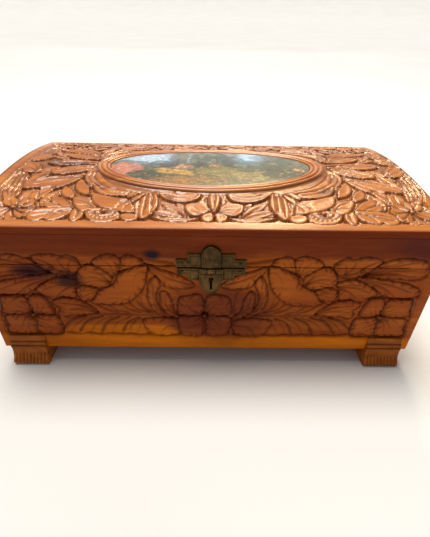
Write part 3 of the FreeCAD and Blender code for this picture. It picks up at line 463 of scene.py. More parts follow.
def lid_foliage(place):
    """The leaves between the ring and the corners."""
    place.leaf((113, 0), (126, -12), 9, bend=-0.1, top=-0.7, scoop=0.5, rib=0.4)
    place.leaf((119, -8), (128, -34), 10, bend=-0.1, top=-0.7, scoop=0.5, rib=0.4)
    place.patch((93, -11), (102, -13), (113, -18), (123, -27), (120, -31), (108, -26), (98, -21),
                (92, -17), top=-0.8, scoop=0.4)
    place.stroke((95, -14), (107, -19), (119, -27), depth=0.4)
    place.patch((92, -17.5), (105, -20.5), (118, -26), (126.5, -33), (126, -40.5), (117, -38.5),
                (112.5, -42), (103, -39), (95, -29.5), top=-0.3, scoop=0.4, lean=(0, -0.3))
    place.stroke((93, -19), (106, -27), (121, -35), width=0.8, depth=0.6)
    place.stroke((94, -22), (103, -31), (111, -38), width=0.7, depth=0.4)
    place.stroke((99, -21), (110, -25), (119, -30), width=0.7, depth=0.4)
    place.patch((87, 1), (96, 2.5), (106, -0.5), (114.5, -8.5), (116, -15), (110, -18), (101.5, -15.5),
                (91.5, -11), (87, -5), top=-0.1, scoop=0.4, lean=(0, -0.2))
    place.stroke((88, -2), (101, -5), (113, -13), width=0.8, depth=0.6)
    place.stroke((89, -6), (99, -10), (108, -15), width=0.7, depth=0.4)
    place.stroke((92, 0), (101, -1), (109, -5), width=0.7, depth=0.4)
    place.leaf((106, -37), (117, -60), 10, bend=0.14, top=-0.5, scoop=0.6, rib=0.4)
    place.leaf((99, -42), (107, -63), 9, bend=0.2, top=-0.4, scoop=0.6, rib=0.4)
    place.leaf((87, -64.5), (104, -49), 8.5, bend=-0.16, top=-0.2, scoop=0.6, tilt=0.2)
    place.leaf((93, -65), (107, -56), 7, bend=-0.2, top=-0.3, scoop=0.6)
    place.leaf((89, -52), (99, -36), 8, bend=-0.2, top=-0.2, scoop=0.6, tilt=0.2)
    place.leaf((81, -48), (91.5, -25), 9, bend=-0.16, top=-0.1, scoop=0.6, tilt=0.2)
    place.leaf((80, -38), (84.5, -20), 6, bend=-0.2, top=-0.4, scoop=0.5)
    place.patch((84, -2), (90, -8), (91, -20), (86, -31), (77, -39), (66, -45), (55, -47), (46, -43.5),
                (55, -39), (68, -32), (78, -20), (82, -10), top=-0.5, scoop=0.3)
    place.stroke((84, -8), (84, -20), (76, -32), (66, -39), (54, -43), width=0.9, depth=0.6, taper=0.3)
    place.stroke((87, -10), (87.5, -22), (80, -34), (70, -41), width=0.7, depth=0.5, taper=0.3)
    place.patch((82.5, -31), (76, -36), (67, -39.5), (56, -43), (53, -46.5), (60, -49.5), (66, -49.3),
                (73, -47.5), (79, -41.5), top=-0.1, scoop=0.4, lean=(0, -0.2))
    place.stroke((80, -33.5), (70, -42), (57, -46), width=0.7, depth=0.5)
    place.stroke((77, -38), (70, -44.5), (63, -47.5), width=0.6, depth=0.4)


def end_leaves(place):
    """A long wavy feather along the lid's short side."""
    place.patch((139.5, -13), (140, -25), (139.5, -37), (136.5, -49), (130, -58), (125.5, -50),
                (127, -38), (128, -26), (131, -15), top=-0.3, scoop=0.4)
    for number, x in enumerate((129.5, 132.5, 135.7)):
        place.stroke((x + 1.5, -15), (x + 1.8, -24), (x + 0.3, -33), (x + 0.6, -42),
                     (x - 3, -55 + 3 * number), width=1.0, depth=0.8, taper=0.3)
    place.patch((139.5, 7), (133, 6), (127, -1), (124.5, -10), (131, -14), (137, -12), (140, -4),
                top=-0.2, scoop=0.4)
    place.strokes((128, -12), (136, 4), (138, -4), (130, 2), width=0.8, depth=0.5)


def corner_flower(place):
    """A round flower with deep ribbed petals in each corner."""
    place.leaf((121, -60), (119, -41), 11, bend=0.12, top=-0.5, scoop=0.6, rib=0.5)
    place.flower((123, -65), 9, 13.5, 9.5, phase=0.3, top=0.0, scoop=0.9, rib=0.5)


def lobed_leaf(place):
    """A leaf of round lobes, and the bud beside it, along the lid's long side."""
    place.patch((112, -70), (107, -65), (97, -63.5), (87.5, -64), (87, -70), (91.5, -76), (98, -78.5),
                (101.5, -76.5), (105, -78.5), (110.5, -77.5), (112.5, -73.5), top=-0.1, scoop=0.4,
                lean=(0, -0.2))
    place.stroke((88, -66), (98, -69.5), (109, -74), width=0.8, depth=0.6)
    place.stroke((94, -68), (97, -72), (99, -76.5), width=0.6)
    place.stroke((99, -68), (104, -68.5), (109, -70), width=0.6)
    place.patch((86.5, -66), (82.8, -64.8), (79, -69.5), (79.2, -74.8), (83.5, -79), (86.8, -74.8),
                top=0.0, scoop=0.4)
    place.stroke((83.5, -66), (82.6, -71), (83.6, -77), width=0.8, depth=0.5)


def carve_lid(relief):
    """The whole of the lid's pattern on a sunken ground, with a seat for the rings, and painted shade on
    the ground, round the seat and on slopes that face the front.
    """
    x, y = relief.x, relief.y
    field = field_mask(x, y, 139, 77.5, 9, 0.9)
    relief.height += LID_GROUND * field
    # painted shade over the sunken ground
    relief.groove += 0.5 * field
    for rows, shift in ((BACK_SCALE, BACK_SHIFT), (1, 0)):
        for side in (-1, 1):
            place = Placed(relief, (side, rows), (LID_CENTRE, shift))
            for element in (end_leaves, lid_foliage, corner_flower, lobed_leaf, festoon, fan, tulip, poppy):
                element(place)
        central_flower(Placed(relief, (1, rows), (LID_CENTRE, shift)))
    for side in (-1, 1):
        place = Placed(relief, (side, 1), (LID_CENTRE, 0))
        place.patch((86, 3), (98, 4), (110, 1), (121, 3), (126, 9), (119, 14), (106, 15), (94, 13),
                    (87, 10), top=-0.3, scoop=0.4)
        place.strokes((87, 7), (122, 9), (112, 4), (110, 13), width=0.8, depth=0.6, bow=0.05)
    relief.height += 0.1 * fractal(x, y, 5, 3.0) * field
    outside = oval_distance(x, y, RING_WIDTH)
    seat = smooth(1.4, -0.2, outside)
    relief.height = relief.height * (1 - seat) + RING_SEAT * seat
    # painted shade in the channel round the rings' seat
    relief.groove = np.maximum(relief.groove, 0.8 * np.exp(-(outside / 0.8) ** 2))
    # painted shade on the slopes that face the front, as if lit from behind
    slope = np.gradient(relief.height, y[:, 0], axis=0)
    relief.groove = np.maximum(relief.groove, 0.75 * smooth(0.35, 1.3, slope) * field)


# ---------------------------------------------------------------- the front's pattern

FRONT_GROUND = -0.45


def stamens(place, centre, count=9, reach=4.5):
    """Short cuts round a small bead, with beads at their ends."""
    for number in range(count):
        turn = 2 * math.pi * number / count + 0.3
        length = reach * (1 if number % 2 else 1.45)
        inner = (centre[0] + 1.5 * math.cos(turn), centre[1] + 1.5 * math.sin(turn))
        outer = (centre[0] + length * math.cos(turn), centre[1] + length * math.sin(turn))
        place.stroke(inner, outer, width=0.75, depth=0.5, taper=0.3, dark=1.0)
        bead = (centre[0] + 3.4 * math.cos(turn + 0.35), centre[1] + 3.4 * math.sin(turn + 0.35))
        place.bump(bead, 0.7, rise=0.35)
    place.button(centre, 1.4, top=-0.2)


def front_corner_flower(place):
    """Four square petals with wavy edges."""
    place.patch((116.6, 43), (117.2, 54), (114, 59), (106.5, 58.4), (103.4, 52.6), (101.8, 46),
                (104, 42.4), (110.7, 42), scoop=0.2)
    place.patch((117.2, 43), (117.6, 54), (120, 58.4), (127.5, 58.2), (134.4, 57.6), (135.2, 50.3),
                (136.2, 44), (125.1, 42.2), scoop=0.2)
    place.patch((117, 42), (127.3, 42.2), (135.6, 40.8), (135.4, 33), (136.4, 25.5), (126, 25),
                (117, 25.8), (116.6, 34), scoop=0.2)
    place.patch((116.4, 42), (116, 34), (115, 25.8), (106.4, 24.8), (99.8, 26.2), (99.4, 34),
                (101, 41.2), (108.4, 41.8), scoop=0.2)
    place.stroke((101.8, 44), (104, 52), (107, 58.8), (114, 59.6), (120, 59), (128, 59), (135, 58),
                 (136, 50), (137, 43), (136.4, 34), (137, 26), (126, 24.4), (115, 25), (106, 24.2),
                 (99.6, 26), (98.8, 34), (100.5, 42), width=0.75, depth=0.6, taper=0.05, dark=0.9)
    place.strokes((116.5, 42.3), (107, 51), (126, 51), (107, 33), (126, 33), (111, 54), (122, 54),
                  (110, 30), (122, 30), (105, 46), (130, 46), (104, 38), (130, 38), width=0.5,
                  depth=0.35, dark=0.75)
    stamens(place, (116.5, 42.3))


def front_poppy(place):
    """The open poppy beside the lock, with ruffled upper petals."""
    place.patch((40, 83.5), (42.6, 88.8), (48.4, 91), (53, 88.5), (55.5, 83), (57, 78), (50, 79),
                scoop=0.2)
    place.patch((53.5, 85.5), (55, 90), (61, 91.4), (67, 89), (71.5, 84.5), (68, 79), (63, 74),
                (57.5, 76), scoop=0.2)
    place.strokes((58, 76), (46, 87), (50, 88), (58, 89), (64, 87), (67, 82), width=0.5, depth=0.35,
                  dark=0.75)
    place.patch((60.5, 74.5), (65, 79), (70.7, 83), (76.5, 82.5), (81, 77), (82.2, 70.5), (77, 67.2),
                (70.5, 66), (63, 67), scoop=0.25)
    place.strokes((62.5, 70), (74, 79), (78, 74), (77, 70), (70, 79), width=0.55, depth=0.4, dark=0.8)
    place.patch((69.6, 63.9), (76, 67), (82.8, 65.6), (84.2, 60), (80.8, 54.5), (75, 56.2), (70.2, 58.8),
                scoop=0.2)
    place.strokes((70.5, 61.5), (80, 63), (80, 58.5), width=0.5, depth=0.35, dark=0.75)
    place.patch((37.6, 82.8), (42, 83.2), (49.6, 80), (56, 76), (59, 69.5), (66, 65.4), (70, 62.4),
                (72.5, 58), (75.5, 54), (69.6, 52), (60.5, 52), (51.5, 54), (44.8, 60.4), (40.4, 67.5),
                (38.6, 75), scoop=-0.15)
    place.stroke((40, 80), (45, 76), (48, 69), width=0.5, depth=0.2, dark=0.45)
    place.stroke((50, 56), (58, 58), (66, 57), width=0.5, depth=0.2, dark=0.45)
    for number in range(8):
        along = number / 7
        place.bump((57.5 + 9.5 * along ** 1.6, 76 - 10.5 * along ** 0.8), 0.8, rise=0.45)


def front_outer_leaves(place):
    """Scalloped leaves from the poppy out to the corner."""
    place.patch((78.2, 82.5), (81, 88), (85.5, 90.6), (88.5, 89.2), (97.3, 91.2), (106.5, 89.4),
                (105.4, 84.6), (99.6, 79), (91.8, 75.8), (82.9, 76.6), scoop=0.2)
    place.stroke((82, 77), (92, 79), (98, 84.5), (104, 88), width=0.8, depth=0.5)
    place.strokes((86, 78), (84, 86), (91, 88), width=0.6, depth=0.35, bow=-0.1)
    place.button((96.5, 80.5), 1.2, top=-0.5)
    place.patch((98.4, 75.3), (104.5, 82), (108, 87), (112, 88.8), (119.6, 90.6), (128.4, 90),
                (135.4, 87.4), (137.6, 80.5), (134.2, 75), (127.3, 74.2), (114, 75.6), scoop=0.2)
    place.strokes((99, 76), (110, 85), (117, 87), (129, 88), (125, 84), (134, 82), (124, 79), (132, 77),
                  width=0.8, depth=0.5, bow=0.06)
    place.patch((81.8, 70.3), (88.4, 73.4), (96.2, 73), (105.1, 68), (110, 62.8), (105.1, 59),
                (100, 55.6), (94, 58), (85.1, 57.6), (84.4, 64.8), scoop=0.2)
    place.strokes((83, 68), (105, 64), (99, 69.5), (96, 60), width=0.7, depth=0.45, bow=0.08)
    place.patch((94, 75), (105.1, 75), (116.2, 73.4), (127.3, 71), (135.4, 67.2), (136.6, 61.2),
                (130.7, 59), (119.6, 58.8), (113.6, 61.6), (105.1, 68.7), scoop=0.2)
    place.stroke((98.4, 73.1), (111.8, 68), (122.5, 60), width=0.8, depth=0.5)
    place.stroke((100, 73.5), (116, 70.5), (131, 64.5), width=0.7, depth=0.4)
    place.stroke((80, 75.5), (92, 74.5), (103, 74.8), width=0.8, depth=0.5)


def front_stem_leaves(place):
    """The stem from the middle flower out to the corner, with leaves on both sides."""
    place.patch((73, 45), (82.9, 55), (89.6, 57), (97.6, 57), (101, 52.6), (97.5, 48.1), (98.5, 44),
                (94, 41), (90, 43), (85.1, 41.6), (78.4, 42.8), scoop=0.15)
    place.strokes((72.9, 44.2), (96.2, 53), (95, 47), (86, 52), width=0.7, depth=0.45, bow=0.1)
    for start, middle, end in (((30.7, 43.7), (41, 47.5), (47.3, 57)),
                               ((38.4, 44.8), (47, 48.5), (52.5, 55.5)),
                               ((45, 45.2), (52.5, 48.5), (57.5, 53.5)), ((53, 44.8), (60, 47), (65, 51.5)),
                               ((60, 45), (66, 47), (72.5, 52))):
        place.stroke(start, middle, end, width=0.85, depth=0.6, taper=0.3)
    for start, middle, end in (((46, 40), (54, 36), (58.5, 26)), ((59, 41), (68, 36), (73, 26)),
                               ((70, 41.5), (81, 37), (88, 27)), ((82, 41.5), (91, 38), (98, 31))):
        place.stroke(start, middle, end, width=1.0, depth=0.7, taper=0.2, dark=0.95)
    for start, middle, end in (((40, 38), (45, 34), (48, 27)), ((52, 41), (61, 36), (65.5, 27)),
                               ((64, 41), (74, 36.5), (80, 27.5)), ((76, 41), (86, 37), (93, 29)),
                               ((49, 37), (52, 33), (53.5, 28)), ((86, 41), (93, 39), (98.5, 36))):
        place.stroke(start, middle, end, width=0.65, depth=0.45, dark=0.85)
    place.stroke((18, 26), (28, 24.6), (38, 25.6), (47, 24.8), (53, 25.8), (58.5, 25.2), (66, 26),
                 (73, 25), (81, 26.2), (88, 25.4), (97, 27), width=0.9, depth=0.6, taper=0.1)
    place.stroke((16.2, 39.8), (27.3, 42.5), (38.4, 43), (47.3, 42.8), (60.7, 43.4), (74, 43.6),
                 (86.2, 42.4), width=1.0, depth=0.7, taper=0.4)


def front_tall_leaves(place):
    """Upright leaves between the middle flower and the poppy, and those under the lock."""
    place.patch((8.4, 68.1), (16.2, 65.6), (26.2, 67), (31, 72.6), (37.6, 82.8), (27.3, 79.6),
                (16.2, 75), scoop=0.15)
    place.stroke((11, 69), (25, 74), (36.5, 82), width=0.7, depth=0.45)
    place.stroke((21.8, 84.8), (30.7, 86.4), (41.5, 88.2), width=1.1, depth=0.8, taper=0.2)
    place.stroke((24, 82.5), (31, 83), (38, 83.5), width=0.7, depth=0.4)
    place.patch((24, 41.4), (31.5, 49), (33.4, 60.3), (30.2, 69.2), (32.9, 75.4), (37.2, 70.3),
                (39, 60.3), (36.8, 49.2), (30.7, 42.6), scoop=0.15)
    place.stroke((29, 43.5), (35, 53), (34.5, 70), width=0.7, depth=0.45)
    place.patch((16.4, 40.8), (22, 46.2), (23.6, 56), (27, 63), (30.4, 61.6), (31.2, 52.6), (27.6, 45),
                (21, 40.8), scoop=0.15)
    place.stroke((19, 42), (26.5, 50), (27.8, 60), width=0.7, depth=0.45)
    place.stroke((37.6, 82), (39, 74), (41.4, 66), (43.4, 59), width=0.9, depth=0.6)
    place.stroke((18, 44), (17.6, 54), (19, 63), (24, 67), width=0.8, depth=0.5)
    place.stroke((36.5, 44), (42, 50), (43.5, 58), width=0.8, depth=0.5)
    place.patch((16.4, 36), (22, 39.6), (33, 40.6), (43, 38.4), (42.6, 32), (38, 25.4), (28, 24.4),
                (19, 27), scoop=0.1)
    place.stroke((18, 34), (27, 33), (33, 26), width=0.7, depth=0.35)


def front_centre_flower(place):
    """The four square petals under the lock."""
    for side in (-1, 1):
        place.patch(*mirrored(side, (0.4, 43), (0.5, 55), (3, 60.6), (10, 60.2), (16, 58.4), (17.6, 52),
                              (17.4, 44), (9, 42.8)), scoop=0.2)
        place.patch(*mirrored(side, (0.4, 42), (9, 42), (17, 41.4), (18, 34), (15.5, 26.2), (8, 24.2),
                              (1.5, 25.6), (0.6, 34)), scoop=0.2)
        place.strokes(*mirrored(side, (0, 42.5), (12, 54), (12, 31)), width=0.5, depth=0.35, dark=0.75)
    stamens(place, (0, 42.5), 11, 5.5)


def carve_front(relief):
    """The front's pattern, on both boards: shallow elements with cut outlines in painted shade."""
    field = field_mask(relief.x, relief.y - 57, 136, 31.5, 6, 0.8)
    relief.height += FRONT_GROUND * field
    # painted shade over the sunken ground
    relief.groove += 0.2 * field
    for side in (-1, 1):
        place = Placed(relief, (side, 1))
        for element in (front_stem_leaves, front_outer_leaves, front_tall_leaves, front_poppy,
                        front_corner_flower):
            element(place)
    front_centre_flower(Placed(relief, shift=(-2.0, 0.0)))


def carve_end(relief):
    """The ends carry a flower between leaves and two half poppies."""
    field = field_mask(relief.x, relief.y - 57, 66, 31, 6, 0.8)
    relief.height += FRONT_GROUND * field
    # painted shade over the sunken ground
    relief.groove += 0.25 * field
    for side in (-1, 1):
        place = Placed(relief, (side, 1))
        for base, tip in (((22, 60), (44, 86)), ((30, 60), (64, 80)), ((22, 52), (44, 28)),
                          ((32, 52), (64, 34))):
            place.leaf(base, tip, 14, bend=0.12, scoop=0.3, rib=0.5, veins=5, lobes=4)
        place.leaf((14, 66), (12, 88), 12, scoop=0.4, rib=0.4, veins=4)
        place.leaf((14, 46), (12, 27), 12, scoop=0.4, rib=0.4, veins=4)
        place.flower((50, 57), 6, 14, 12, phase=0.4, scoop=0.6, rib=0.3)
    relief.flower((0, 57), 6, 20, 18, phase=math.pi / 6, scoop=0.6, rib=0.3)


# ---------------------------------------------------------------- stains in the wood

def srgb(red, green, blue):
    """A colour on screen, 0 to 255, as the linear colour that a shader takes."""
    return tuple((c / 255 / 12.92) if c < 10 else ((c / 255 + 0.055) / 1.055) ** 2.4
                 for c in (red, green, blue))


class Stain:
    """Colours laid over a board's grain: one colour and one share for each vertex."""

    def __init__(self, shape):
        self.colour = np.zeros(shape + (3,))
        self.share = np.zeros(shape)

    def lay(self, colour, share):
        """Lays a colour over those that are there."""
        keep = (1 - share)[..., None] * self.share[..., None]
        total = self.share * (1 - share) + share
        mixed = self.colour * keep + np.array(colour) * share[..., None]
        self.colour = mixed / np.maximum(total, 1e-5)[..., None]
        self.share = total

    def rgba(self):
        return np.concatenate([self.colour, self.share[..., None]], axis=-1)


def blot(x, y, centre, half, seed, edge=0.35):
    """A patch with a soft uneven edge."""
    wobble = 0.22 * fractal(x, y, seed, 12.0)
    radius = np.hypot((x - centre[0]) / half[0], (y - centre[1]) / half[1]) + wobble
    return smooth(1 + edge, 1 - edge, radius)


SAPWOOD = srgb(214, 116, 6)
HEARTWOOD = srgb(88, 34, 26)
GOLDEN = srgb(188, 100, 30)
KNOT = srgb(32, 22, 30)
UPPER = srgb(102, 34, 9)


def front_stain(x, z):
    """A dark upper edge, partly painted shade, golden patches, two knots and a strip of sapwood along the
    bottom.
    """
    stain = Stain(x.shape)
    # darker towards the top: partly the wood's tone, partly painted shade
    stain.lay(UPPER, 0.8 * smooth(86, 93, z + 2 * fractal(x, z, 40, 30.0)))
    edge = 24.5 + 1.5 * fractal(x, z * 0.2, 41, 40.0) + 9 * smooth(-105, -90, x) * smooth(-12, -30, x)
    stain.lay(SAPWOOD, 0.9 * smooth(edge + 1.6, edge - 1.6, z))
    stain.lay(GOLDEN, 0.55 * blot(x, z, (48, 74), (30, 16), 46, 0.5))
    stain.lay(GOLDEN, 0.55 * blot(x, z, (-50, 68), (30, 17), 47, 0.5))
    stain.lay(UPPER, 0.35 * smooth(-50, -120, x))
    stain.lay(HEARTWOOD, 0.85 * blot(x, z, (138, 99), (28, 9), 48, 0.5))
    stain.lay(HEARTWOOD, 0.6 * blot(x, z, (9, 41), (34, 25), 42, 0.3))
    for centre, half, share in (((-33.6, 91.5), (5.0, 3.6), 1.0), ((-109, 78), (11, 5.0), 0.95),
                                ((-87, 72), (8, 6), 0.9), ((-22, 90), (7, 1.5), 0.4)):
        stain.lay(KNOT, share * blot(x, z, centre, half, 43, 0.6))
    return stain.rgba()


def lid_stain(x, y):
    """Faint dark clouds, a few knots and a dark border."""
    stain = Stain(x.shape)
    stain.lay(UPPER, 0.35 * smooth(0.1, 0.8, fractal(x * 0.25, y, 50, 30.0)))
    for centre, half, share in (((-104, 6), (13, 4), 0.75), ((-117, 12), (6, 7), 0.6),
                                ((-113, -19), (5, 4), 0.55), ((79, -40), (5, 3), 0.6),
                                ((8, 62), (16, 4), 0.4)):
        stain.lay(KNOT, share * blot(x, y, centre, half, 51, 0.6))
    stain.lay(UPPER, 0.85 * smooth(3.2, 0.4, edge_distance(x, y)))
    return stain.rgba()


def end_stain(x, z):
    """A dark upper edge, a dark patch and a strip of sapwood along the bottom."""
    stain = Stain(x.shape)
    stain.lay(UPPER, 0.5 * smooth(84, 95, z))
    edge = 22 + 2 * fractal(x, z * 0.2, 61, 40.0)
    stain.lay(SAPWOOD, 0.75 * smooth(edge + 1.6, edge - 1.6, z))
    stain.lay(HEARTWOOD, 0.5 * blot(x, z, (-20, 62), (34, 14), 62, 0.4))
    return stain.rgba()


# ---------------------------------------------------------------- materials

class Shader:
    """A material with one Principled node, and short calls that add nodes to it."""

    def __init__(self, name, **constant):
        self.material = bpy.data.materials.new(name)
        self.material.use_nodes = True
        self.tree = self.material.node_tree
        self.surface = self.tree.nodes["Principled BSDF"]
        for key, value in constant.items():
            self.surface.inputs[key.replace("_", " ")].default_value = value

    def node(self, kind, *feeds, **settings):
        """A node; feeds go to its inputs in order, and None skips one."""
        node = self.tree.nodes.new("ShaderNode" + kind)
        for key, value in settings.items():
            setattr(node, key, value)
        for number, feed in enumerate(feeds):
            self.feed(node.inputs[number], feed)
        return node

    def feed(self, socket, value):
        if isinstance(value, bpy.types.NodeSocket):
            self.tree.links.new(value, socket)
        elif value is not None:
            socket.default_value = value

    def place(self, scale, offset=(0, 0, 0)):
        """Object coordinates, stretched."""
        source = self.node("TexCoord").outputs["Object"]
        mapping = self.node("Mapping", source)
        mapping.inputs["Scale"].default_value = scale
        mapping.inputs["Location"].default_value = offset
        return mapping.outputs[0]

    def noise(self, vector, scale, detail=4.0, roughness=0.55, distortion=0.0):
        node = self.node("TexNoise", vector)
        for key, value in (("Scale", scale), ("Detail", detail), ("Roughness", roughness),
                           ("Distortion", distortion)):
            node.inputs[key].default_value = value
        return node.outputs["Fac"]

    def ramp(self, value, *stops):
        """A colour ramp; each stop is a place and a colour or a grey level."""
        node = self.node("ValToRGB", value)
        elements = node.color_ramp.elements
        for number, (place, colour) in enumerate(stops):
            element = elements[number] if number < 2 else elements.new(place)
            element.position = place
            level = colour if isinstance(colour, tuple) else (colour,) * 3
            element.color = level + (1.0,)
        return node.outputs[0]

    def mix(self, share, first, second, blend="MIX"):
        """A blend of two colours, each a socket or a colour of three numbers."""
        node = self.node("Mix", data_type="RGBA", blend_type=blend)
        self.feed(node.inputs[0], share)
        for number, colour in ((6, first), (7, second)):       # a Mix node's colour inputs
            self.feed(node.inputs[number], colour + (1.0,) if isinstance(colour, tuple) else colour)
        return node.outputs[2]

    def math(self, operation, first, second=0.5):
        return self.node("Math", first, second, operation=operation).outputs[0]

    def inward(self):
        """1 on a wall's face that looks towards the middle of the box, 0 elsewhere."""
        source = self.node("TexCoord").outputs
        level = self.node("VectorMath", source["Normal"], (1.0, 1.0, 0.0), operation="MULTIPLY")
        toward = self.node("VectorMath", source["Object"], level.outputs[0], operation="DOT_PRODUCT")
        return self.math("LESS_THAN", toward.outputs["Value"], -0.03)

    def attribute(self, name):
        return self.node("Attribute", attribute_name=name).outputs

    def bump(self, height, distance, strength=1.0, under=None):
        node = self.node("Bump")
        node.inputs["Strength"].default_value = strength
        node.inputs["Distance"].default_value = distance
        self.feed(node.inputs["Height"], height)
        self.feed(node.inputs["Normal"], under)
        return node.outputs["Normal"]

    def finish(self, colour=None, roughness=None, normal=None, coat=False):
        self.feed(self.surface.inputs["Base Color"], colour)
        self.feed(self.surface.inputs["Roughness"], roughness)
        self.feed(self.surface.inputs["Normal"], normal)
        if coat:
            self.feed(self.surface.inputs["Coat Normal"], normal)
        return self.material


CEDAR = (srgb(176, 92, 22), srgb(208, 122, 36), srgb(226, 146, 52))
# the walls' cedar is darker than the top's: partly its own tone, partly painted shade for the upright walls
CEDAR_WALLS_SHADED = (srgb(144, 62, 16), srgb(168, 84, 26), srgb(188, 104, 38))
CEDAR_RAW = (srgb(170, 104, 70), srgb(192, 126, 88), srgb(206, 146, 104))
FOOT_WOOD = (srgb(130, 64, 14), srgb(170, 92, 24), srgb(198, 118, 38))
GRAIN_X = (1.0, 9.0, 9.0)            # how grain is drawn out along each axis
GRAIN_Y = (9.0, 1.0, 9.0)


TOOTH = 0.00008                      # depth of the wood's pores, in metres


def wood(name, tones, grain, shift, gloss, coat, shine=0.3, groove=srgb(40, 10, 3), stained=True,
         raw_inside=False):
    """Varnished cedar: streaks, rings and pores along the grain, stains, and painted shade in the cuts."""
    s = Shader(name, Coat_Weight=coat, Coat_Roughness=0.27, Coat_IOR=1.5, Specular_IOR_Level=shine)
    dark, middle, light = tones
    vector = s.place(grain, (shift, shift * 0.7, shift * 1.3))
    streaks = s.noise(vector, 14.0, 6.0, 0.62, 0.8)
    pores = s.noise(vector, 120.0, 3.0, 0.6)
    broad = s.noise(s.place(grain, (shift + 3, 0, 0)), 2.6, 2.0, 0.5, 1.2)
    colour = s.ramp(streaks, (0.3, dark), (0.7, light), (0.52, middle))
    colour = s.mix(s.ramp(broad, (0.35, 0.0), (0.75, 0.55)), colour, dark)
    if stained:
        stain = s.attribute("stain")
        streaked = s.mix(0.5, stain["Color"], s.ramp(streaks, (0.3, 0.6), (0.7, 1.3)), "MULTIPLY")
        colour = s.mix(stain["Alpha"], colour, streaked)
    if raw_inside:
        raw = s.ramp(streaks, (0.3, CEDAR_RAW[0]), (0.7, CEDAR_RAW[2]), (0.52, CEDAR_RAW[1]))
        colour = s.mix(s.inward(), colour, raw)
    colour = s.mix(0.5, colour, s.ramp(pores, (0.3, 0.72), (0.62, 1.0)), "MULTIPLY")
    # painted shade: the cuts, hollows and front-facing slopes are darkened towards the groove colour
    cut = s.attribute("groove")["Fac"]
    colour = s.mix(s.math("MULTIPLY", cut, 0.82), colour, groove)
    roughness = s.ramp(s.noise(s.place((1, 1, 1)), 60.0, 3.0), (0.3, gloss), (0.8, gloss + 0.18))
    normal = s.bump(s.noise(s.place((1, 1, 1)), 420.0, 3.0), 2 * TOOTH, 0.5)
    normal = s.bump(pores, TOOTH, 0.6, normal)
    return s.finish(colour, roughness, normal, coat=True)


def brass(name, dull, bright, rough, relief=0.00012):
    """Brass with a mottled tarnish that gathers in its low places."""
    s = Shader(name, Metallic=0.85)
    mottle = s.noise(s.place((1, 1, 1)), 190.0, 5.0, 0.65)
    cloud = s.noise(s.place((1, 1, 1)), 45.0, 3.0, 0.5)
    colour = s.ramp(mottle, (0.34, dull), (0.7, bright))
    colour = s.mix(s.ramp(cloud, (0.35, 0.6), (0.65, 0.0)), colour, dull)
    cut = s.attribute("groove")["Fac"]
    colour = s.mix(s.math("MULTIPLY", cut, 0.8), colour, srgb(26, 20, 10))
    roughness = s.ramp(mottle, (0.3, rough + 0.15), (0.7, rough))
    return s.finish(colour, roughness, s.bump(mottle, relief, 0.6))


def steel(name, colour, tint):
    s = Shader(name, Metallic=0.9)
    scratches = s.noise(s.place((1, 14, 1)), 160.0, 4.0)
    shade = s.ramp(scratches, (0.3, colour), (0.7, tint))
    return s.finish(shade, s.ramp(scratches, (0.3, 0.3), (0.7, 0.45)), s.bump(scratches, 0.00005, 0.5))


def painted_print():
    """The varnished print: its painted colours, broken up by brush marks and paper."""
    s = Shader("varnished_print", Coat_Weight=1.0, Coat_Roughness=0.15, Coat_IOR=1.5)
    paint = s.attribute("paint")["Color"]
    strokes = s.noise(s.place((1, 1.3, 1)), 260.0, 5.0, 0.68, 0.8)
    leaves = s.noise(s.place((1, 1, 1), (0.4, 0.2, 0)), 620.0, 3.0, 0.6)
    colour = s.mix(0.9, paint, s.ramp(strokes, (0.32, 0.3), (0.68, 1.7)), "MULTIPLY")
    colour = s.mix(0.6, colour, s.ramp(leaves, (0.35, 0.5), (0.65, 1.5)), "MULTIPLY")
    crackle = s.noise(s.place((1, 1, 1)), 35.0, 3.0)
    return s.finish(colour, s.ramp(crackle, (0.3, 0.34), (0.7, 0.46)),
                    s.bump(crackle, 0.00025, 0.5), coat=True)


def floor_material():
    s = Shader("pale_floor", Specular_IOR_Level=0.2)
    cloud = s.noise(s.place((1, 1, 1)), 3.0, 2.0)
    return s.finish(s.ramp(cloud, (0.3, 0.80), (0.7, 0.84)), s.ramp(cloud, (0.3, 0.7), (0.7, 0.8)))


WALL_LOOK = {"gloss": 0.4, "coat": 0.02, "shine": 0.06, "raw_inside": True}
WALL_CUT_SHADE = srgb(66, 20, 6)           # the colour of the painted shade in the walls' cuts
WOOD = {
    "top": wood("cedar_top", CEDAR, GRAIN_X, 0.3, gloss=0.36, coat=0.9, groove=srgb(52, 15, 3)),
    "walls": wood("cedar_walls", CEDAR_WALLS_SHADED, GRAIN_X, 1.7, groove=WALL_CUT_SHADE, **WALL_LOOK),
    "ends": wood("cedar_ends", CEDAR_WALLS_SHADED, GRAIN_Y, 2.9, groove=WALL_CUT_SHADE, **WALL_LOOK),
    "back": wood("cedar_back", CEDAR_WALLS_SHADED, GRAIN_X, 4.1, stained=False, **WALL_LOOK),
    "inside": wood("cedar_raw", CEDAR_RAW, GRAIN_X, 5.3, gloss=0.55, coat=0.1, stained=False),
    "feet": wood("foot_wood", FOOT_WOOD, (3.0, 6.0, 6.0), 6.1, gloss=0.4, coat=0.05, shine=0.1,
                 stained=False),
}
AGED_BRASS = brass("aged_brass", srgb(58, 42, 20), srgb(114, 84, 42), 0.42)
HINGE_BRASS = brass("hinge_brass", srgb(120, 96, 50), srgb(178, 146, 80), 0.32, 0.00006)
LOCK_BRASS = brass("lock_brass", srgb(170, 138, 72), srgb(205, 172, 98), 0.28, 0.00005)
SCREW_STEEL = steel("steel_screws", srgb(120, 120, 122), srgb(168, 168, 168))
SPRING_STEEL = steel("spring_steel", srgb(74, 82, 104), srgb(110, 116, 134))
PRINT = painted_print()
SLOTS = {part["node"]: part["material_slot"] for part in frame["record"]["subparts"]}


# ---------------------------------------------------------------- meshes

SHARP_DEGREES = 40


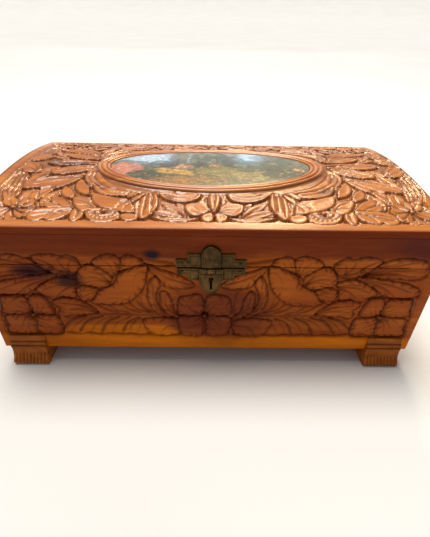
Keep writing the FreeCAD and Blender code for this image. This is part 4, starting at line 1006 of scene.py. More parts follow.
def mesh_from(name, points, faces):
    """A mesh from points in millimetres and faces of any size."""
    mesh = bpy.data.meshes.new(name)
    mesh.from_pydata((np.asarray(points) * MM).tolist(), [], faces)
    mesh.update()
    return mesh


def piece_from(mesh, body, material, node):
    """Puts a mesh in the scene as a piece that rides on a body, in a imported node's place."""
    piece = bpy.data.objects.new(mesh.name, mesh)
    bpy.context.scene.collection.objects.link(piece)
    mesh.materials.append(material)
    mesh.shade_smooth()
    mesh.set_sharp_from_angle(angle=math.radians(SHARP_DEGREES))
    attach(piece, body)
    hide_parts(node)


def grid_faces(rows, columns):
    """The four corners of each cell of a grid, anticlockwise."""
    start = (np.arange(rows - 1)[:, None] * columns + np.arange(columns - 1)[None]).ravel()
    return np.stack([start, start + 1, start + columns + 1, start + columns], axis=1)


def border_edges(quads):
    """The edges that only one face has, in that face's direction."""
    edges = {}
    for quad in quads:
        for a, b in zip(quad, quad[1:] + quad[:1]):
            if edges.pop((b, a), None) is None:
                edges[(a, b)] = True
    return list(edges)


def outline_loop(rows, columns):
    """The grid's border as one loop of vertex numbers, anticlockwise."""
    number = np.arange(rows * columns).reshape(rows, columns)
    return np.concatenate([number[0, :-1], number[:-1, -1], number[-1, :0:-1], number[:0:-1, 0]])


def store(mesh, name, values):
    """Keeps one number for each vertex; vertices past the end of values get 0."""
    full = np.zeros(len(mesh.vertices), dtype=np.float32)
    full[:values.size] = values.ravel()
    mesh.attributes.new(name, "FLOAT", "POINT").data.foreach_set("value", full)


def store_colour(mesh, name, values):
    """Keeps one colour for each vertex, in the same way."""
    full = np.zeros((len(mesh.vertices), 4), dtype=np.float32)
    full[:values.size // 4] = values.reshape(-1, 4)
    mesh.color_attributes.new(name, "FLOAT_COLOR", "POINT").data.foreach_set("color", full.ravel())


FINE = (0.0, 0.25, 0.6, 1.1)         # the first few coordinates in from a board's edge


def graded(low, high, spacing, fine=FINE):
    """Coordinates from low to high, closer together at both ends so that edges can be rounded."""
    count = int(round((high - low - 2 * fine[-1]) / spacing))
    middle = np.linspace(low + fine[-1], high - fine[-1], count + 1)[1:-1]
    return np.concatenate([low + np.array(fine), middle, high - np.array(fine)[::-1]])


def rounded(distance, radius):
    """How far a surface falls where it is near an edge of that radius."""
    near = np.clip(radius - distance, 0, radius)
    return radius - np.sqrt(radius ** 2 - near ** 2)


def edge_distance(x, y):
    """Distance of each grid point to the nearest border of the grid."""
    across = np.minimum(x - x[:, :1], x[:, -1:] - x)
    up = np.minimum(y - y[:1], y[-1:] - y)
    return np.minimum(across, up)


# ---------------------------------------------------------------- the lid's top board

LID_SPACING = 0.75
STAINED_EDGE = 1.3                   # the top board's border has the walls' darker material, partly painted shade, this far in


def ring_section():
    """The ring's section: share of its width, height on the dome, and painted shade in its hollows."""
    out = np.array([-0.04, 0.0, 0.03, 0.08, 0.14, 0.2, 0.25, 0.28, 0.31, 0.37, 0.46, 0.55, 0.62, 0.66, 0.69,
                    0.74, 0.81, 0.88, 0.94, 0.98, 1.01])
    up = np.array([-1.2, -0.9, -0.2, 0.2, 0.4, 0.35, 0.1, -0.25, 0.1, 0.6, 0.95, 0.85, 0.45, -0.05, 0.1,
                   0.5, 0.7, 0.5, -0.1, -0.8, -1.6])
    # painted shade in the ring's hollows
    dark = np.array([1, 1, 0.6, 0.1, 0, 0, 0.3, 0.8, 0.3, 0, 0, 0, 0.2, 0.85, 0.3,
                     0, 0, 0.1, 0.5, 0.9, 1.0])
    return out, up, dark


def ring_points(segments=288):
    """Three ridges in one ring round the picture, swept along its oval."""
    out, up, dark = ring_section()
    turn = np.linspace(0, 2 * math.pi, segments, endpoint=False)[:, None]
    a, b = OVAL_HALF
    nx, ny = np.cos(turn) / a, np.sin(turn) / b
    size = np.hypot(nx, ny)
    width = np.hypot(RING_WIDTH[0] * nx / size, RING_WIDTH[1] * ny / size)
    width = width * (1 + 0.02 * np.sin(5 * turn + 1) + 0.015 * np.sin(11 * turn))
    x = OVAL[0] + a * np.cos(turn) + out * width * nx / size
    y = OVAL[1] + b * np.sin(turn) + out * width * ny / size
    points = np.stack([x, y, dome(y) + up], axis=-1)
    return points, np.broadcast_to(dark, x.shape)


def make_lid_top():
    """The domed top board with its carving."""
    x, y = np.meshgrid(graded(-HALF_X, HALF_X, LID_SPACING), graded(-HALF_Y, HALF_Y, LID_SPACING))
    relief = Relief(x, y, shadow=1.0, edge=0.75, gap=0.68, shade_halo=0.3, folds=0.42, bold=1.35)
    carve_lid(relief)
    height = dome(y) + relief.height - rounded(edge_distance(x, y), 1.1)
    top = np.stack([x, y, height], axis=-1).reshape(-1, 3)
    loop = outline_loop(*x.shape)
    lean = WALL_SLOPE * EDGE_THICK
    low = top[loop] * ((HALF_X - lean) / HALF_X, (HALF_Y - lean) / HALF_Y, 0) + (0, 0, RAIL_TOP)
    count = len(loop)
    skirt = [[int(loop[(i + 1) % count]), int(loop[i]), len(top) + i, len(top) + (i + 1) % count]
             for i in range(count)]
    floor = [list(range(len(top) + count - 1, len(top) - 1, -1))]
    ring, ring_shade = ring_points()
    start = len(top) + count
    turns, width = ring_shade.shape
    ring_faces = [[start + i * width + j, start + i * width + j + 1,
                   start + (i + 1) % turns * width + j + 1, start + (i + 1) % turns * width + j]
                  for i in range(turns) for j in range(width - 1)]
    faces = grid_faces(*x.shape).tolist() + skirt + floor + ring_faces
    mesh = mesh_from("carved_lid", np.concatenate([top, low, ring.reshape(-1, 3)]), faces)
    store(mesh, "groove", np.concatenate([relief.groove.ravel(), np.zeros(count), ring_shade.ravel()]))
    stain = lid_stain(x, y).reshape(-1, 4)
    store_colour(mesh, "stain", np.concatenate([stain, stain[loop]]))
    piece_from(mesh, "lid", WOOD["top"], "lid_top")
    mesh.materials.append(WOOD["walls"])
    mesh.materials.append(WOOD["inside"])
    first = (x.shape[0] - 1) * (x.shape[1] - 1)
    index = np.zeros(len(mesh.polygons), dtype=np.int32)
    middle = edge_distance((x[:-1, :-1] + x[1:, 1:]) / 2, (y[:-1, :-1] + y[1:, 1:]) / 2)
    index[:first] = (middle < STAINED_EDGE).ravel()
    index[first:first + count] = 1
    index[first + count] = 2
    mesh.polygons.foreach_set("material_index", index)


# ---------------------------------------------------------------- the carved walls

SKIN = 3.0                           # how much of a wall's outside is made new
WALL_SPACING = 0.62


def wall_point(facing, along, z, depth=0.0):
    """A point of a leaning wall; depth is how far outwards of its face it lies."""
    side = 1 if facing in ("right", "back") else -1
    if facing in ("left", "right"):
        return np.stack([side * (half_width(z) + depth), side * along, z], axis=-1)
    return np.stack([along, side * (half_depth(z) + depth), z], axis=-1)


def kept_part(node, place, outward):
    """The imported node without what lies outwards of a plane, as a bmesh; place is in metres."""
    work = bmesh.new()
    work.from_mesh(frame["nodes"][node].data)
    geometry = work.verts[:] + work.edges[:] + work.faces[:]
    bmesh.ops.bisect_plane(work, geom=geometry, plane_co=place, plane_no=outward, clear_outer=True)
    return work


def rest_of_board(node, facing):
    """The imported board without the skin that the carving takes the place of."""
    zero, one = np.array([0.0]), np.array([10.0])
    low = wall_point(facing, zero, zero + BASE, -SKIN)[0]
    high = wall_point(facing, zero, zero + SEAM, -SKIN)[0]
    along = wall_point(facing, one, zero + BASE, -SKIN)[0]
    normal = Vector(np.cross(along - low, high - low))
    outward = Vector(wall_point(facing, zero, zero + BASE, 1)[0] - low)
    if normal.dot(outward) < 0:
        normal.negate()
    return kept_part(node, Vector(low * MM), normal)


def join_kept(mesh, kept):
    """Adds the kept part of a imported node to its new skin, all in one material slot."""
    spare = bpy.data.meshes.new("spare")
    kept.to_mesh(spare)
    kept.free()
    work = bmesh.new()
    work.from_mesh(mesh)
    work.from_mesh(spare)
    bpy.data.meshes.remove(spare)
    for face in work.faces:
        face.material_index = 0
    work.to_mesh(mesh)
    work.free()


def make_wall(name, node, body, facing, carve, stain, half, material, hole=None):
    """A wall board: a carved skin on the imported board's inner part."""
    low, high = box_mm(node)
    share = graded(-1, 1, WALL_SPACING / half(high[2]), np.array(FINE) / half(high[2]))
    share, z = np.meshgrid(share, graded(low[2], high[2], WALL_SPACING))
    along = share * half(z)
    relief = Relief(along, z, shadow=1.0, edge=0.5, gap=0.78, shade_halo=0.3, folds=0.1, bold=1.4,
                    waver=0.75, nicks=6.0)
    carve(relief)
    height = np.minimum(relief.height, 0.0) - rounded(edge_distance(along, z), 0.4)
    front = wall_point(facing, along, z, height)
    back = wall_point(facing, along, z, -SKIN)
    rows, columns = z.shape
    quads = grid_faces(rows, columns)
    if hole:
        middle = (along[:-1, :-1] + along[1:, 1:]) / 2, (z[:-1, :-1] + z[1:, 1:]) / 2
        quads = quads[~hole(*middle).ravel()]
    total = rows * columns
    sides = [[b, a, total + a, total + b] for a, b in border_edges(quads.tolist())]
    points = np.concatenate([front.reshape(-1, 3), back.reshape(-1, 3)])
    here = np.zeros(1)
    outward = wall_point(facing, here, here, 1) - wall_point(facing, here, here)
    a, b, c = (points[quads[0][k]] for k in (0, 1, 2))
    faces = quads.tolist() + sides
    if np.dot(np.cross(b - a, c - b), outward[0]) < 0:
        faces = [face[::-1] for face in faces]
    skin = mesh_from(name, points, faces)
    join_kept(skin, rest_of_board(node, facing))
    store(skin, "groove", relief.groove)
    colours = stain(along, z).reshape(-1, 4)
    store_colour(skin, "stain", np.concatenate([colours, colours]))
    tidy_loose(skin)
    piece_from(skin, body, material, node)


def tidy_loose(mesh):
    """Removes the vertices that no face uses."""
    work = bmesh.new()
    work.from_mesh(mesh)
    loose = [vertex for vertex in work.verts if not vertex.link_faces]
    bmesh.ops.delete(work, geom=loose, context="VERTS")
    work.to_mesh(mesh)
    work.free()


KEYHOLE_EYE = 7.8                    # from the seam down to the middle of the keyhole's eye
KEYHOLE_RADIUS = 1.5
KEYHOLE_SLOT = 8.0


def keyhole(x, z):
    """True inside the keyhole."""
    down = SEAM - z - KEYHOLE_EYE
    eye = np.hypot(x - LOCK_X, down) < KEYHOLE_RADIUS
    slot = (np.abs(x - LOCK_X) < KEYHOLE_RADIUS / 2 + 0.3) & (down > 0) & (down < KEYHOLE_SLOT)
    return eye | slot


def end_half(z):
    """Half the length of an end board, which fits between the long walls."""
    return half_depth(z) - BOARD


def make_walls():
    for name, node, body, hole in (("carved_front", "body_front", "case", keyhole),
                                   ("carved_lid_front", "lid_front", "lid", None)):
        make_wall(name, node, body, "front", carve_front, front_stain, half_width, WOOD["walls"], hole)
    for facing in ("left", "right"):
        for name, node, body in (("carved_end_", "body_end_", "case"),
                                 ("carved_lid_end_", "lid_end_", "lid")):
            make_wall(name + facing, node + facing, body, facing, carve_end, end_stain, end_half,
                      WOOD["ends"])


# ---------------------------------------------------------------- shapes cut from a sheet

def cut_sheet(x, y, distance):
    """The cells inside an outline, where distance is negative, and a grid drawn onto that outline."""
    step_y, step_x = np.gradient(distance)
    slope_x, slope_y = step_x / np.gradient(x, axis=1), step_y / np.gradient(y, axis=0)
    size = np.maximum(np.hypot(slope_x, slope_y), 0.3)
    inside = distance < 0
    cells = inside[:-1, :-1] | inside[1:, :-1] | inside[:-1, 1:] | inside[1:, 1:]
    used = np.zeros(x.shape, dtype=bool)
    for rows in (slice(None, -1), slice(1, None)):
        for columns in (slice(None, -1), slice(1, None)):
            used[rows, columns] |= cells
    move = used & ~inside
    x = np.where(move, x - distance * slope_x / size ** 2, x)
    y = np.where(move, y - distance * slope_y / size ** 2, y)
    return x, y, cells


def solid_sheet(name, front, back, cells):
    """A closed solid between two grids of points, on the given cells."""
    rows, columns = front.shape[:2]
    quads = grid_faces(rows, columns)[cells.ravel()].tolist()
    total = rows * columns
    sides = [[b, a, total + a, total + b] for a, b in border_edges(quads)]
    under = [[total + k for k in quad[::-1]] for quad in quads]
    points = np.concatenate([front.reshape(-1, 3), back.reshape(-1, 3)])
    return mesh_from(name, points, quads + sides + under)


def box_distance(x, y, half_x, low, high):
    """Signed distance to a rectangle centred on x = 0."""
    qx = np.abs(x) - half_x
    qy = np.abs(y - (low + high) / 2) - (high - low) / 2
    return np.hypot(np.maximum(qx, 0), np.maximum(qy, 0)) + np.minimum(np.maximum(qx, qy), 0)


# ---------------------------------------------------------------- the picture

PICTURE_SPACING = 0.6
PICTURE_SINK = -0.35                 # the print's face, from the dome
PICTURE_THICK = 0.6
PICTURE_MARGIN = 1.2                 # how far the grid reaches past the picture's edge
FAR = 9.0                            # past any rounded edge


def dab(paint, share, colour):
    """Lays a colour over the painting."""
    share = np.clip(share, 0, 1)[..., None]
    paint[:] = paint * (1 - share) + np.array(colour) * share


def crown(x, y, centre, half, seed):
    """The leafy outline of a tree or a bush."""
    radius = np.hypot((x - centre[0]) / half[0], (y - centre[1]) / half[1])
    return smooth(1.12, 0.88, radius + 0.28 * fractal(x, y, seed, 7.0))


def paint_sky(paint, x, y):
    """A grey-blue sky with soft clouds."""
    dab(paint, smooth(6, 16, y + 4 * fractal(x, y, 70, 20.0)), srgb(132, 150, 158))
    clouds = (((-44, 22), (22, 10)), ((30, 26), (10, 12)), ((-52, 10), (16, 5)))
    for number, (centre, half) in enumerate(clouds):
        dab(paint, 0.8 * blot(x, y, centre, half, 71 + number, 0.5), srgb(186, 198, 208))
    dab(paint, 0.7 * blot(x, y, (6, 30), (24, 12), 75, 0.5), srgb(120, 122, 108))


def paint_trees(paint, x, y):
    """Trees, each with lit and shaded clumps of leaves and a trunk: middle x, y and half sizes."""
    trees = ((-24, 22, 8, 18), (-8, 18, 7, 22), (6, 26, 10, 16), (46, 20, 13, 18), (62, 14, 12, 18),
             (18, 14, 9, 15), (70, 2, 10, 16), (44, 4, 13, 12), (-36, 6, 9, 9), (-58, 8, 12, 6),
             (30, 8, 9, 10))
    clumps = (srgb(140, 132, 80), srgb(120, 124, 92), srgb(40, 46, 30))
    greens = (srgb(96, 98, 74), srgb(70, 78, 56), srgb(54, 62, 38))
    for number, (cx, cy, half_x, half_y) in enumerate(trees):
        dab(paint, 0.92 * crown(x, y, (cx, cy), (half_x, half_y), 80 + number), greens[number % 3])
        for turn in range(5):
            angle = 2.2 * turn + number
            spot = (cx + 0.6 * half_x * math.cos(angle), cy + 0.6 * half_y * math.sin(angle))
            light = crown(x, y, spot, (half_x * 0.3, half_y * 0.22), 95 + number + turn)
            dab(paint, 0.45 * light, clumps[turn % 3])
        trunk = smooth(1.2, 0.6, np.abs(x - cx)) * smooth(cy - 1.5 * half_y, cy - half_y, y)
        trunk = trunk * smooth(cy, cy - 4, y)
        dab(paint, 0.8 * trunk, srgb(62, 44, 32))


def paint_cottage(paint, x, y, centre, size):
    """A small thatched cottage: wall, roof, gable, chimney, and a door and a window."""
    u, v = (x - centre[0]) / size, (y - centre[1]) / size
    wall = smooth(1.1, 0.9, np.maximum(np.abs(u), np.abs(v + 0.3) / 0.6))
    dab(paint, wall, srgb(176, 138, 98))
    roof = smooth(0.1, -0.1, np.maximum(np.abs(u) - 1.3 + 0.8 * np.maximum(v, 0), np.abs(v - 0.6) - 0.5))
    dab(paint, 0.9 * roof, srgb(136, 96, 62))
    gable = smooth(0.1, -0.1, np.maximum(np.abs(u + 0.4) - 0.5 + 0.6 * v, -v - 0.8))
    dab(paint, 0.85 * gable, srgb(200, 158, 104))
    dab(paint, smooth(0.18, 0.1, np.maximum(np.abs(u - 0.7), np.abs(v - 1.1) * 0.6)), srgb(132, 84, 60))
    for across, up in ((-0.4, -0.5), (0.5, -0.4)):
        opening = smooth(0.2, 0.12, np.maximum(np.abs(u - across), np.abs(v - up) * 0.7))
        dab(paint, 0.8 * opening, srgb(70, 50, 40))


def paint_garden(paint, x, y):
    """Bushes and beds, a path, and small blooms scattered over them."""
    beds = (((-61, -3), (13, 12), srgb(206, 128, 102)), ((-54, -14), (9, 7), srgb(214, 146, 114)),
            ((-46, -16), (13, 9), srgb(60, 66, 40)), ((9, -10), (18, 11), srgb(132, 118, 56)),
            ((-4, -20), (11, 6), srgb(96, 92, 46)), ((32, -16), (13, 8), srgb(146, 126, 66)),
            ((54, -12), (17, 9), srgb(56, 60, 34)), ((28, -4), (8, 5), srgb(80, 82, 46)))
    for number, (centre, half, colour) in enumerate(beds):
        dab(paint, 0.92 * crown(x, y, centre, half, 110 + number), colour)
    path = smooth(5.5, 3.0, np.abs(y + 9 + 0.28 * (x + 28) + 3 * fractal(x, y, 126, 10.0)))
    dab(paint, 0.9 * path * smooth(-40, -34, x) * smooth(-8, -16, x), srgb(206, 156, 66))
    dab(paint, 0.8 * blot(x, y, (-16, -26), (26, 7), 127, 0.4), srgb(164, 112, 46))
    dab(paint, 0.7 * blot(x, y, (22, -30), (30, 5), 128, 0.4), srgb(104, 96, 44))
    blooms = np.random.default_rng(130)
    tints = (srgb(214, 150, 120), srgb(212, 186, 104), srgb(180, 96, 78), srgb(58, 62, 34))
    for number in range(260):
        centre = blooms.uniform((-72, -34), (72, 0))
        size = blooms.uniform(0.5, 1.2)
        dab(paint, 0.4 * smooth(1.2, 0.6, np.hypot(x - centre[0], y - centre[1]) / size), tints[number % 4])


def paint_picture(x, y):
    """A made-up garden landscape: sky, trees, cottages, bushes and a path."""
    paint = np.empty(x.shape + (3,))
    paint[:] = srgb(100, 94, 50)
    paint_sky(paint, x, y)
    paint_trees(paint, x, y)
    for centre, size in (((-18, 2), 6.0), ((4, 5), 3.6), ((66, -3), 4.2)):
        paint_cottage(paint, x, y, centre, size)
    paint_garden(paint, x, y)
    paint *= (1 + 0.35 * fractal(x, y, 120, 3.5))[..., None]
    return np.clip(paint, 0, 1)


def make_picture():
    half_x, half_y = OVAL_HALF + PICTURE_MARGIN
    x, y = np.meshgrid(np.arange(-half_x, half_x, PICTURE_SPACING) + OVAL[0],
                       np.arange(-half_y, half_y, PICTURE_SPACING) + OVAL[1])
    distance = oval_distance(x, y, -0.15)
    x, y, cells = cut_sheet(x, y, distance)
    top = dome(y) + PICTURE_SINK - rounded(np.clip(-distance, 0, FAR), 0.3)
    front = np.stack([x, y, top], axis=-1)
    back = np.stack([x, y, dome(y) + PICTURE_SINK - PICTURE_THICK], axis=-1)
    mesh = solid_sheet("picture", front, back, cells)
    colours = np.concatenate([paint_picture(x, y), np.ones(x.shape + (1,))], axis=-1)
    store_colour(mesh, "paint", colours)
    tidy_loose(mesh)
    piece_from(mesh, "lid", PRINT, "picture_print")


# ---------------------------------------------------------------- the brass plates

PLATE_SPACING = 0.22
PLATE_THICK = 1.2
BOSS_THICK = 2.2
PLATE_GAP = 0.35                     # between a plate's edge and the seam
PLATE_HALF = 21.5                    # half widths of the plates' wide and narrow steps
SHOULDER_HALF = 14.5
PLATE_REACH = 22.2                   # half width of the grid that a plate is cut from
LEAST_THICK = 0.4


def catch_outline(x, z):
    """Signed distance to the lid's plate: two steps upwards and the boss."""
    steps = np.minimum(box_distance(x, z, PLATE_HALF, PLATE_GAP, 6.0),
                       box_distance(x, z, SHOULDER_HALF, PLATE_GAP, 10.0))
    return np.minimum(steps, catch_boss(x, z))


def catch_boss(x, z):
    """Upright sides with a round top."""
    return np.minimum(box_distance(x, z, 6.0, PLATE_GAP, 9.6), np.hypot(x, z - 9.55) - 6.0)


def lock_outline(x, z):
    """Signed distance to the body's plate: two steps downwards and the boss."""
    steps = np.minimum(box_distance(x, z, PLATE_HALF - 0.5, -5.3, -PLATE_GAP),
                       box_distance(x, z, SHOULDER_HALF, -9.8, -PLATE_GAP))
    return np.minimum(steps, lock_boss(x, z))


def lock_boss(x, z):
    """The lower boss narrows downwards to a round foot, and the keyhole goes through it."""
    narrow = np.clip((-z - 8.5) / 7.5, 0, 1) * 2.0
    sides = np.maximum(np.abs(x) - 7.5 + narrow, np.maximum(z + PLATE_GAP, -z - 14.4))
    return np.minimum(sides, np.hypot(x * 1.02, (z + 14.4) * 1.13) - 5.6)


def plate_relief(x, z, outline, boss):
    """Thickness and grooves of a stamped plate."""
    thick = PLATE_THICK - rounded(np.clip(-outline, 0, FAR), 0.6)
    rim = np.exp(-((-outline - 1.5) / 0.32) ** 2)
    raised = smooth(0.35, -0.35, boss) * (BOSS_THICK - PLATE_THICK)
    line = np.exp(-((-boss - 1.1) / 0.3) ** 2)
    foot = np.exp(-((boss - 0.4) / 0.45) ** 2)
    hammered = 0.09 * fractal(x, z, 130, 2.2)
    thick = thick + raised - 0.18 * rim * (boss > 0.5) - 0.2 * line + hammered
    groove = np.clip(0.8 * rim * (boss > 0.5) + 0.7 * line + 0.9 * foot, 0, 1)
    return thick, groove


def catch_relief(x, z, outline, boss):
    """The boss carries a shell of raised rays."""
    thick, groove = plate_relief(x, z, outline, boss)
    shell = np.hypot(x, z - 9.0)
    ray = np.cos(9 * np.arctan2(z - 2.0, x))
    inside = smooth(-1.3, -2.2, boss)
    upper = smooth(3, 6, z)
    thick = thick + 0.22 * ray * inside * upper + 0.35 * np.exp(-(shell / 2.2) ** 2)
    return thick, np.maximum(groove, 0.5 * inside * smooth(0.2, -0.8, ray) * upper)


def lock_relief(x, z, outline, boss):
    """The boss has two upright grooves, a shelf and a collar round the keyhole."""
    thick, groove = plate_relief(x, z, outline, boss)
    for middle in (-2.6, 2.6):
        line = np.exp(-((x - middle) / 0.4) ** 2) * smooth(-4.5, -3.2, z)
        thick = thick - 0.45 * line
        groove = np.maximum(groove, line)
    shelf = np.exp(-((z + 4.2) / 0.4) ** 2) * (boss < -0.6)
    collar = np.exp(-((np.hypot(x, z + KEYHOLE_EYE) - 2.6) / 0.4) ** 2)
    return thick - 0.3 * shelf + 0.25 * collar, np.maximum(groove, shelf)


def make_plate(name, node, body, outline_of, boss_of, relief_of, low, high, pierced):
    """A stamped plate from low to high, measured from the seam."""
    x, z = np.meshgrid(np.arange(-PLATE_REACH, PLATE_REACH, PLATE_SPACING),
                       np.arange(low, high, PLATE_SPACING))
    outline, boss = outline_of(x, z), boss_of(x, z)
    distance = outline
    if pierced:
        eye = KEYHOLE_RADIUS - np.hypot(x, z + KEYHOLE_EYE)
        slot = -box_distance(x, z, KEYHOLE_RADIUS / 2, -KEYHOLE_EYE - KEYHOLE_SLOT, -KEYHOLE_EYE)
        distance = np.maximum(outline, np.maximum(eye, slot))
    thick, groove = relief_of(x, z, outline, boss)
    x, z, cells = cut_sheet(x, z, distance)
    front = wall_point("front", x + LOCK_X, z + SEAM, np.maximum(thick, LEAST_THICK))
    back = wall_point("front", x + LOCK_X, z + SEAM, np.zeros(x.shape))
    mesh = solid_sheet(name, front, back, cells)
    store(mesh, "groove", groove)
    tidy_loose(mesh)
    piece_from(mesh, body, AGED_BRASS, node)


def make_plates():
    make_plate("catch_plate_stamped", "catch_plate", "lid", catch_outline, catch_boss, catch_relief,
               -0.2, 16.4, pierced=False)
    make_plate("lock_plate_stamped", "lock_plate", "case", lock_outline, lock_boss, lock_relief,
               -20.2, 0.2, pierced=True)


# ---------------------------------------------------------------- the feet

FOOT_CUT = 79.0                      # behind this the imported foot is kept
FLUTES = 10
FOOT_RIDGES = (19.2, 16.1)           # heights of the lines of painted shade between the mouldings


def arc(start, end, radius, steps, inwards):
    """Points on an arc from start to end, without its first."""
    start, end = np.array(start), np.array(end)
    chord = end - start
    length = np.hypot(*chord)
    normal = np.array([chord[1], -chord[0]]) / length
    rise = math.sqrt(radius ** 2 - (length / 2) ** 2)
    centre = (start + end) / 2 + normal * rise * (1 if inwards else -1)
    first, last = (math.atan2(*(p - centre)[::-1]) for p in (start, end))
    turn = (last - first + math.pi) % (2 * math.pi) - math.pi
    angles = first + turn * np.arange(1, steps + 1) / steps
    return centre + radius * np.stack([np.cos(angles), np.sin(angles)], axis=-1)


def foot_profile():
    """The toe's outline from the wall down to the floor: distance from the middle and height."""
    lip = 24.0
    wall = half_depth(lip)
    steps = ((0, 0), (0.5, 0.05), (0.9, 0.5), (1, 1.2), (1, 4.2), (1.2, 4.75), (1.9, 5.1), (2.1, 5.6),
             (2.1, 7.4), (2.3, 7.9), (3, 8.2))
    bead = [(wall + out, lip - down) for out, down in steps]
    toe, tip, sole = bead[-1], (88.0, 3.4), (85.6, 0.0)
    cove = arc(toe, tip, 12.0, 14, inwards=False)
    nose = arc(tip, sole, 3.2, 7, inwards=True)
    return np.concatenate([np.array(bead), cove, nose])


def make_foot(node, side_x, side_y):
    """A moulded foot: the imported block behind, and a new toe with flutes."""
    profile = foot_profile()
    low, high = box_mm(node)
    middle = (low[0] + high[0]) / 2
    half = (high[0] - low[0]) / 2
    columns = graded(-half, half, 0.3, (0.0, 0.15, 0.4, 0.8))
    across, row = np.meshgrid(columns, np.arange(len(profile)))
    out, up = profile[row, 0], profile[row, 1]
    fluted = smooth(10.5, 8.5, up) * smooth(half - 0.4, half - 1.6, np.abs(across))
    wave = np.abs(np.sin(math.pi * FLUTES * (across + half) / (2 * half))) ** 0.7
    wear = 0.15 * fractal(across, up * 2, 140 + int(side_x), 5.0)
    fall = rounded(half - np.abs(across), 0.8) + 0.75 * fluted * (1 - wave) + np.abs(wear)
    fall = np.minimum(fall, np.maximum(out - half_depth(up), 0.2))
    # painted shade in the flutes and along the steps of the moulding
    groove = 0.9 * fluted * (1 - wave) ** 1.5
    for ridge in FOOT_RIDGES:
        groove = np.maximum(groove, 0.7 * np.exp(-((up - ridge) / 0.35) ** 2))
    face = np.stack([across + middle, side_y * (out - fall), up], axis=-1)
    sole = face[-1] * (1, 0, 0) + (0, side_y * FOOT_CUT, 0)
    shelf = face[0] * (1, 0, 0) + np.array([0, side_y * half_depth(BASE), BASE])
    ledge = face[0] * (1, 0, 0) + np.array([0, side_y * FOOT_CUT, BASE])
    points = np.concatenate([ledge[None], shelf[None], face, sole[None]])
    rows, count = points.shape[:2]
    faces = grid_faces(rows, count).tolist()
    for column in (0, count - 1):
        cap = [row * count + column for row in range(rows)]
        faces.append(cap if column else cap[::-1])
    if side_y > 0:
        faces = [face[::-1] for face in faces]
    mesh = mesh_from(node + "_moulded", points.reshape(-1, 3), faces)
    join_kept(mesh, kept_part(node, (0, side_y * FOOT_CUT * MM, 0), (0, side_y, 0)))
    full = np.zeros((rows, count))
    full[2:-1] = groove
    store(mesh, "groove", full)
    piece_from(mesh, "case", WOOD["feet"], node)


def make_feet():
    for name_y, side_y in (("front", -1), ("back", 1)):
        for name_x, side_x in (("left", -1), ("right", 1)):
            make_foot(f"foot_{name_y}_{name_x}", side_x, side_y)


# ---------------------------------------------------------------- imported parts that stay

def finish_packed_parts():
    """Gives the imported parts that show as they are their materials."""
    finishes = {"body_back": WOOD["back"], "lid_back": WOOD["back"], "body_bottom": WOOD["inside"],
                "foot_screws": SCREW_STEEL, "lock_spring": SPRING_STEEL}
    by_slot = {"aged_brass": AGED_BRASS, "hinge_brass": HINGE_BRASS, "lock_brass": LOCK_BRASS}
    for name, node in frame["nodes"].items():
        finish = finishes.get(name) or by_slot.get(SLOTS[name])
        if finish:
            for slot in node.material_slots:
                slot.material = finish


# ---------------------------------------------------------------- camera, light and floor

LIGHT_TARGET = (0, 0, 0.1)
CAMERA_PLACE = (0.59, -294.17, 217.65)
CAMERA_TURN = (32.96, 1.03, -1.20)   # degrees down, to the right and clockwise
CAMERA_FOCAL = 405.15 / 537          # in picture heights


def make_camera():
    """A camera close in front of the box and above it, as the photograph's perspective shows."""
    pitch, yaw, roll = (math.radians(a) for a in CAMERA_TURN)
    ahead = Vector((math.sin(yaw) * math.cos(pitch), math.cos(yaw) * math.cos(pitch), -math.sin(pitch)))
    level = Vector((math.cos(yaw), -math.sin(yaw), 0))
    down = ahead.cross(level)
    right = math.cos(roll) * level + math.sin(roll) * down
    under = -math.sin(roll) * level + math.cos(roll) * down
    data = bpy.data.cameras.new("camera")
    data.sensor_width = 36
    data.lens = CAMERA_FOCAL * data.sensor_width
    camera = bpy.data.objects.new("camera", data)
    turn = Matrix((right, -under, -ahead)).transposed().to_4x4()
    camera.matrix_world = Matrix.Translation(Vector(CAMERA_PLACE) * MM) @ turn
    bpy.context.scene.collection.objects.link(camera)
    bpy.context.scene.camera = camera


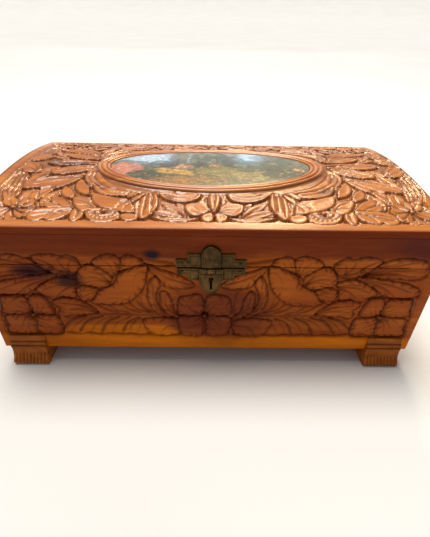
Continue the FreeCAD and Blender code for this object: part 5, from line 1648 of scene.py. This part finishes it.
def make_light(name, place, size, power, colour):
    """A rectangle of light that faces the box."""
    data = bpy.data.lights.new(name, "AREA")
    data.shape = "RECTANGLE"
    data.size, data.size_y = size
    data.energy = power
    data.color = colour
    light = bpy.data.objects.new(name, data)
    light.location = place
    light.rotation_euler = (Vector(LIGHT_TARGET) - Vector(place)).to_track_quat("-Z", "Y").to_euler()
    bpy.context.scene.collection.objects.link(light)


def make_sun(name, source, strength, spread, colour):
    """Even light from one direction, soft at the edges of its shadows."""
    data = bpy.data.lights.new(name, "SUN")
    data.energy = strength
    data.angle = math.radians(spread)
    data.color = colour
    sun = bpy.data.objects.new(name, data)
    sun.rotation_euler = (-Vector(source)).to_track_quat("-Z", "Y").to_euler()
    bpy.context.scene.collection.objects.link(sun)


def make_lights():
    make_light("pane_left", (-0.36, 2.2, 0.62), (0.26, 0.3), 0.26, (0.42, 0.66, 1.0))
    make_light("pane_right", (0.24, 2.2, 0.54), (0.14, 0.3), 0.24, (0.32, 0.66, 1.0))
    make_light("window", (0.0, 2.4, 0.5), (2.2, 0.6), 1.2, (0.95, 0.95, 0.95))
    make_light("lamp", (0.2, 1.0, 1.0), (0.4, 0.18), 7.5, (1.0, 0.8, 0.5))
    make_sun("overhead", (-0.2, 0.3, 1.6), 3.25, 32, (1.0, 0.94, 0.84))
    world = bpy.data.worlds.new("studio")
    world.use_nodes = True
    background = world.node_tree.nodes["Background"]
    background.inputs["Color"].default_value = (0.95, 0.97, 1.0, 1)
    background.inputs["Strength"].default_value = 0.24
    bpy.context.scene.world = world
    bpy.context.scene.view_settings.view_transform = "Standard"


def make_floor():
    """A wide pale floor that turns up a little at its far edges, above the horizon."""
    half, flat, count = 12.0, 9.0, 41          # half sizes in metres, and points on a side
    x, y = np.meshgrid(*[np.linspace(-half, half, count)] * 2)
    mesh = bpy.data.meshes.new("floor")
    rise = np.maximum(np.maximum(np.abs(x), np.abs(y)) - flat, 0) / (half - flat)
    points = np.stack([x, y, 0.8 * rise ** 2], axis=-1).reshape(-1, 3)
    mesh.from_pydata(points.tolist(), [], grid_faces(count, count).tolist())
    mesh.shade_smooth()
    mesh.materials.append(floor_material())
    floor = bpy.data.objects.new("floor", mesh)
    bpy.context.scene.collection.objects.link(floor)


make_camera()
make_lights()
make_floor()
make_lid_top()
make_walls()
make_picture()
make_plates()
make_feet()
finish_packed_parts()
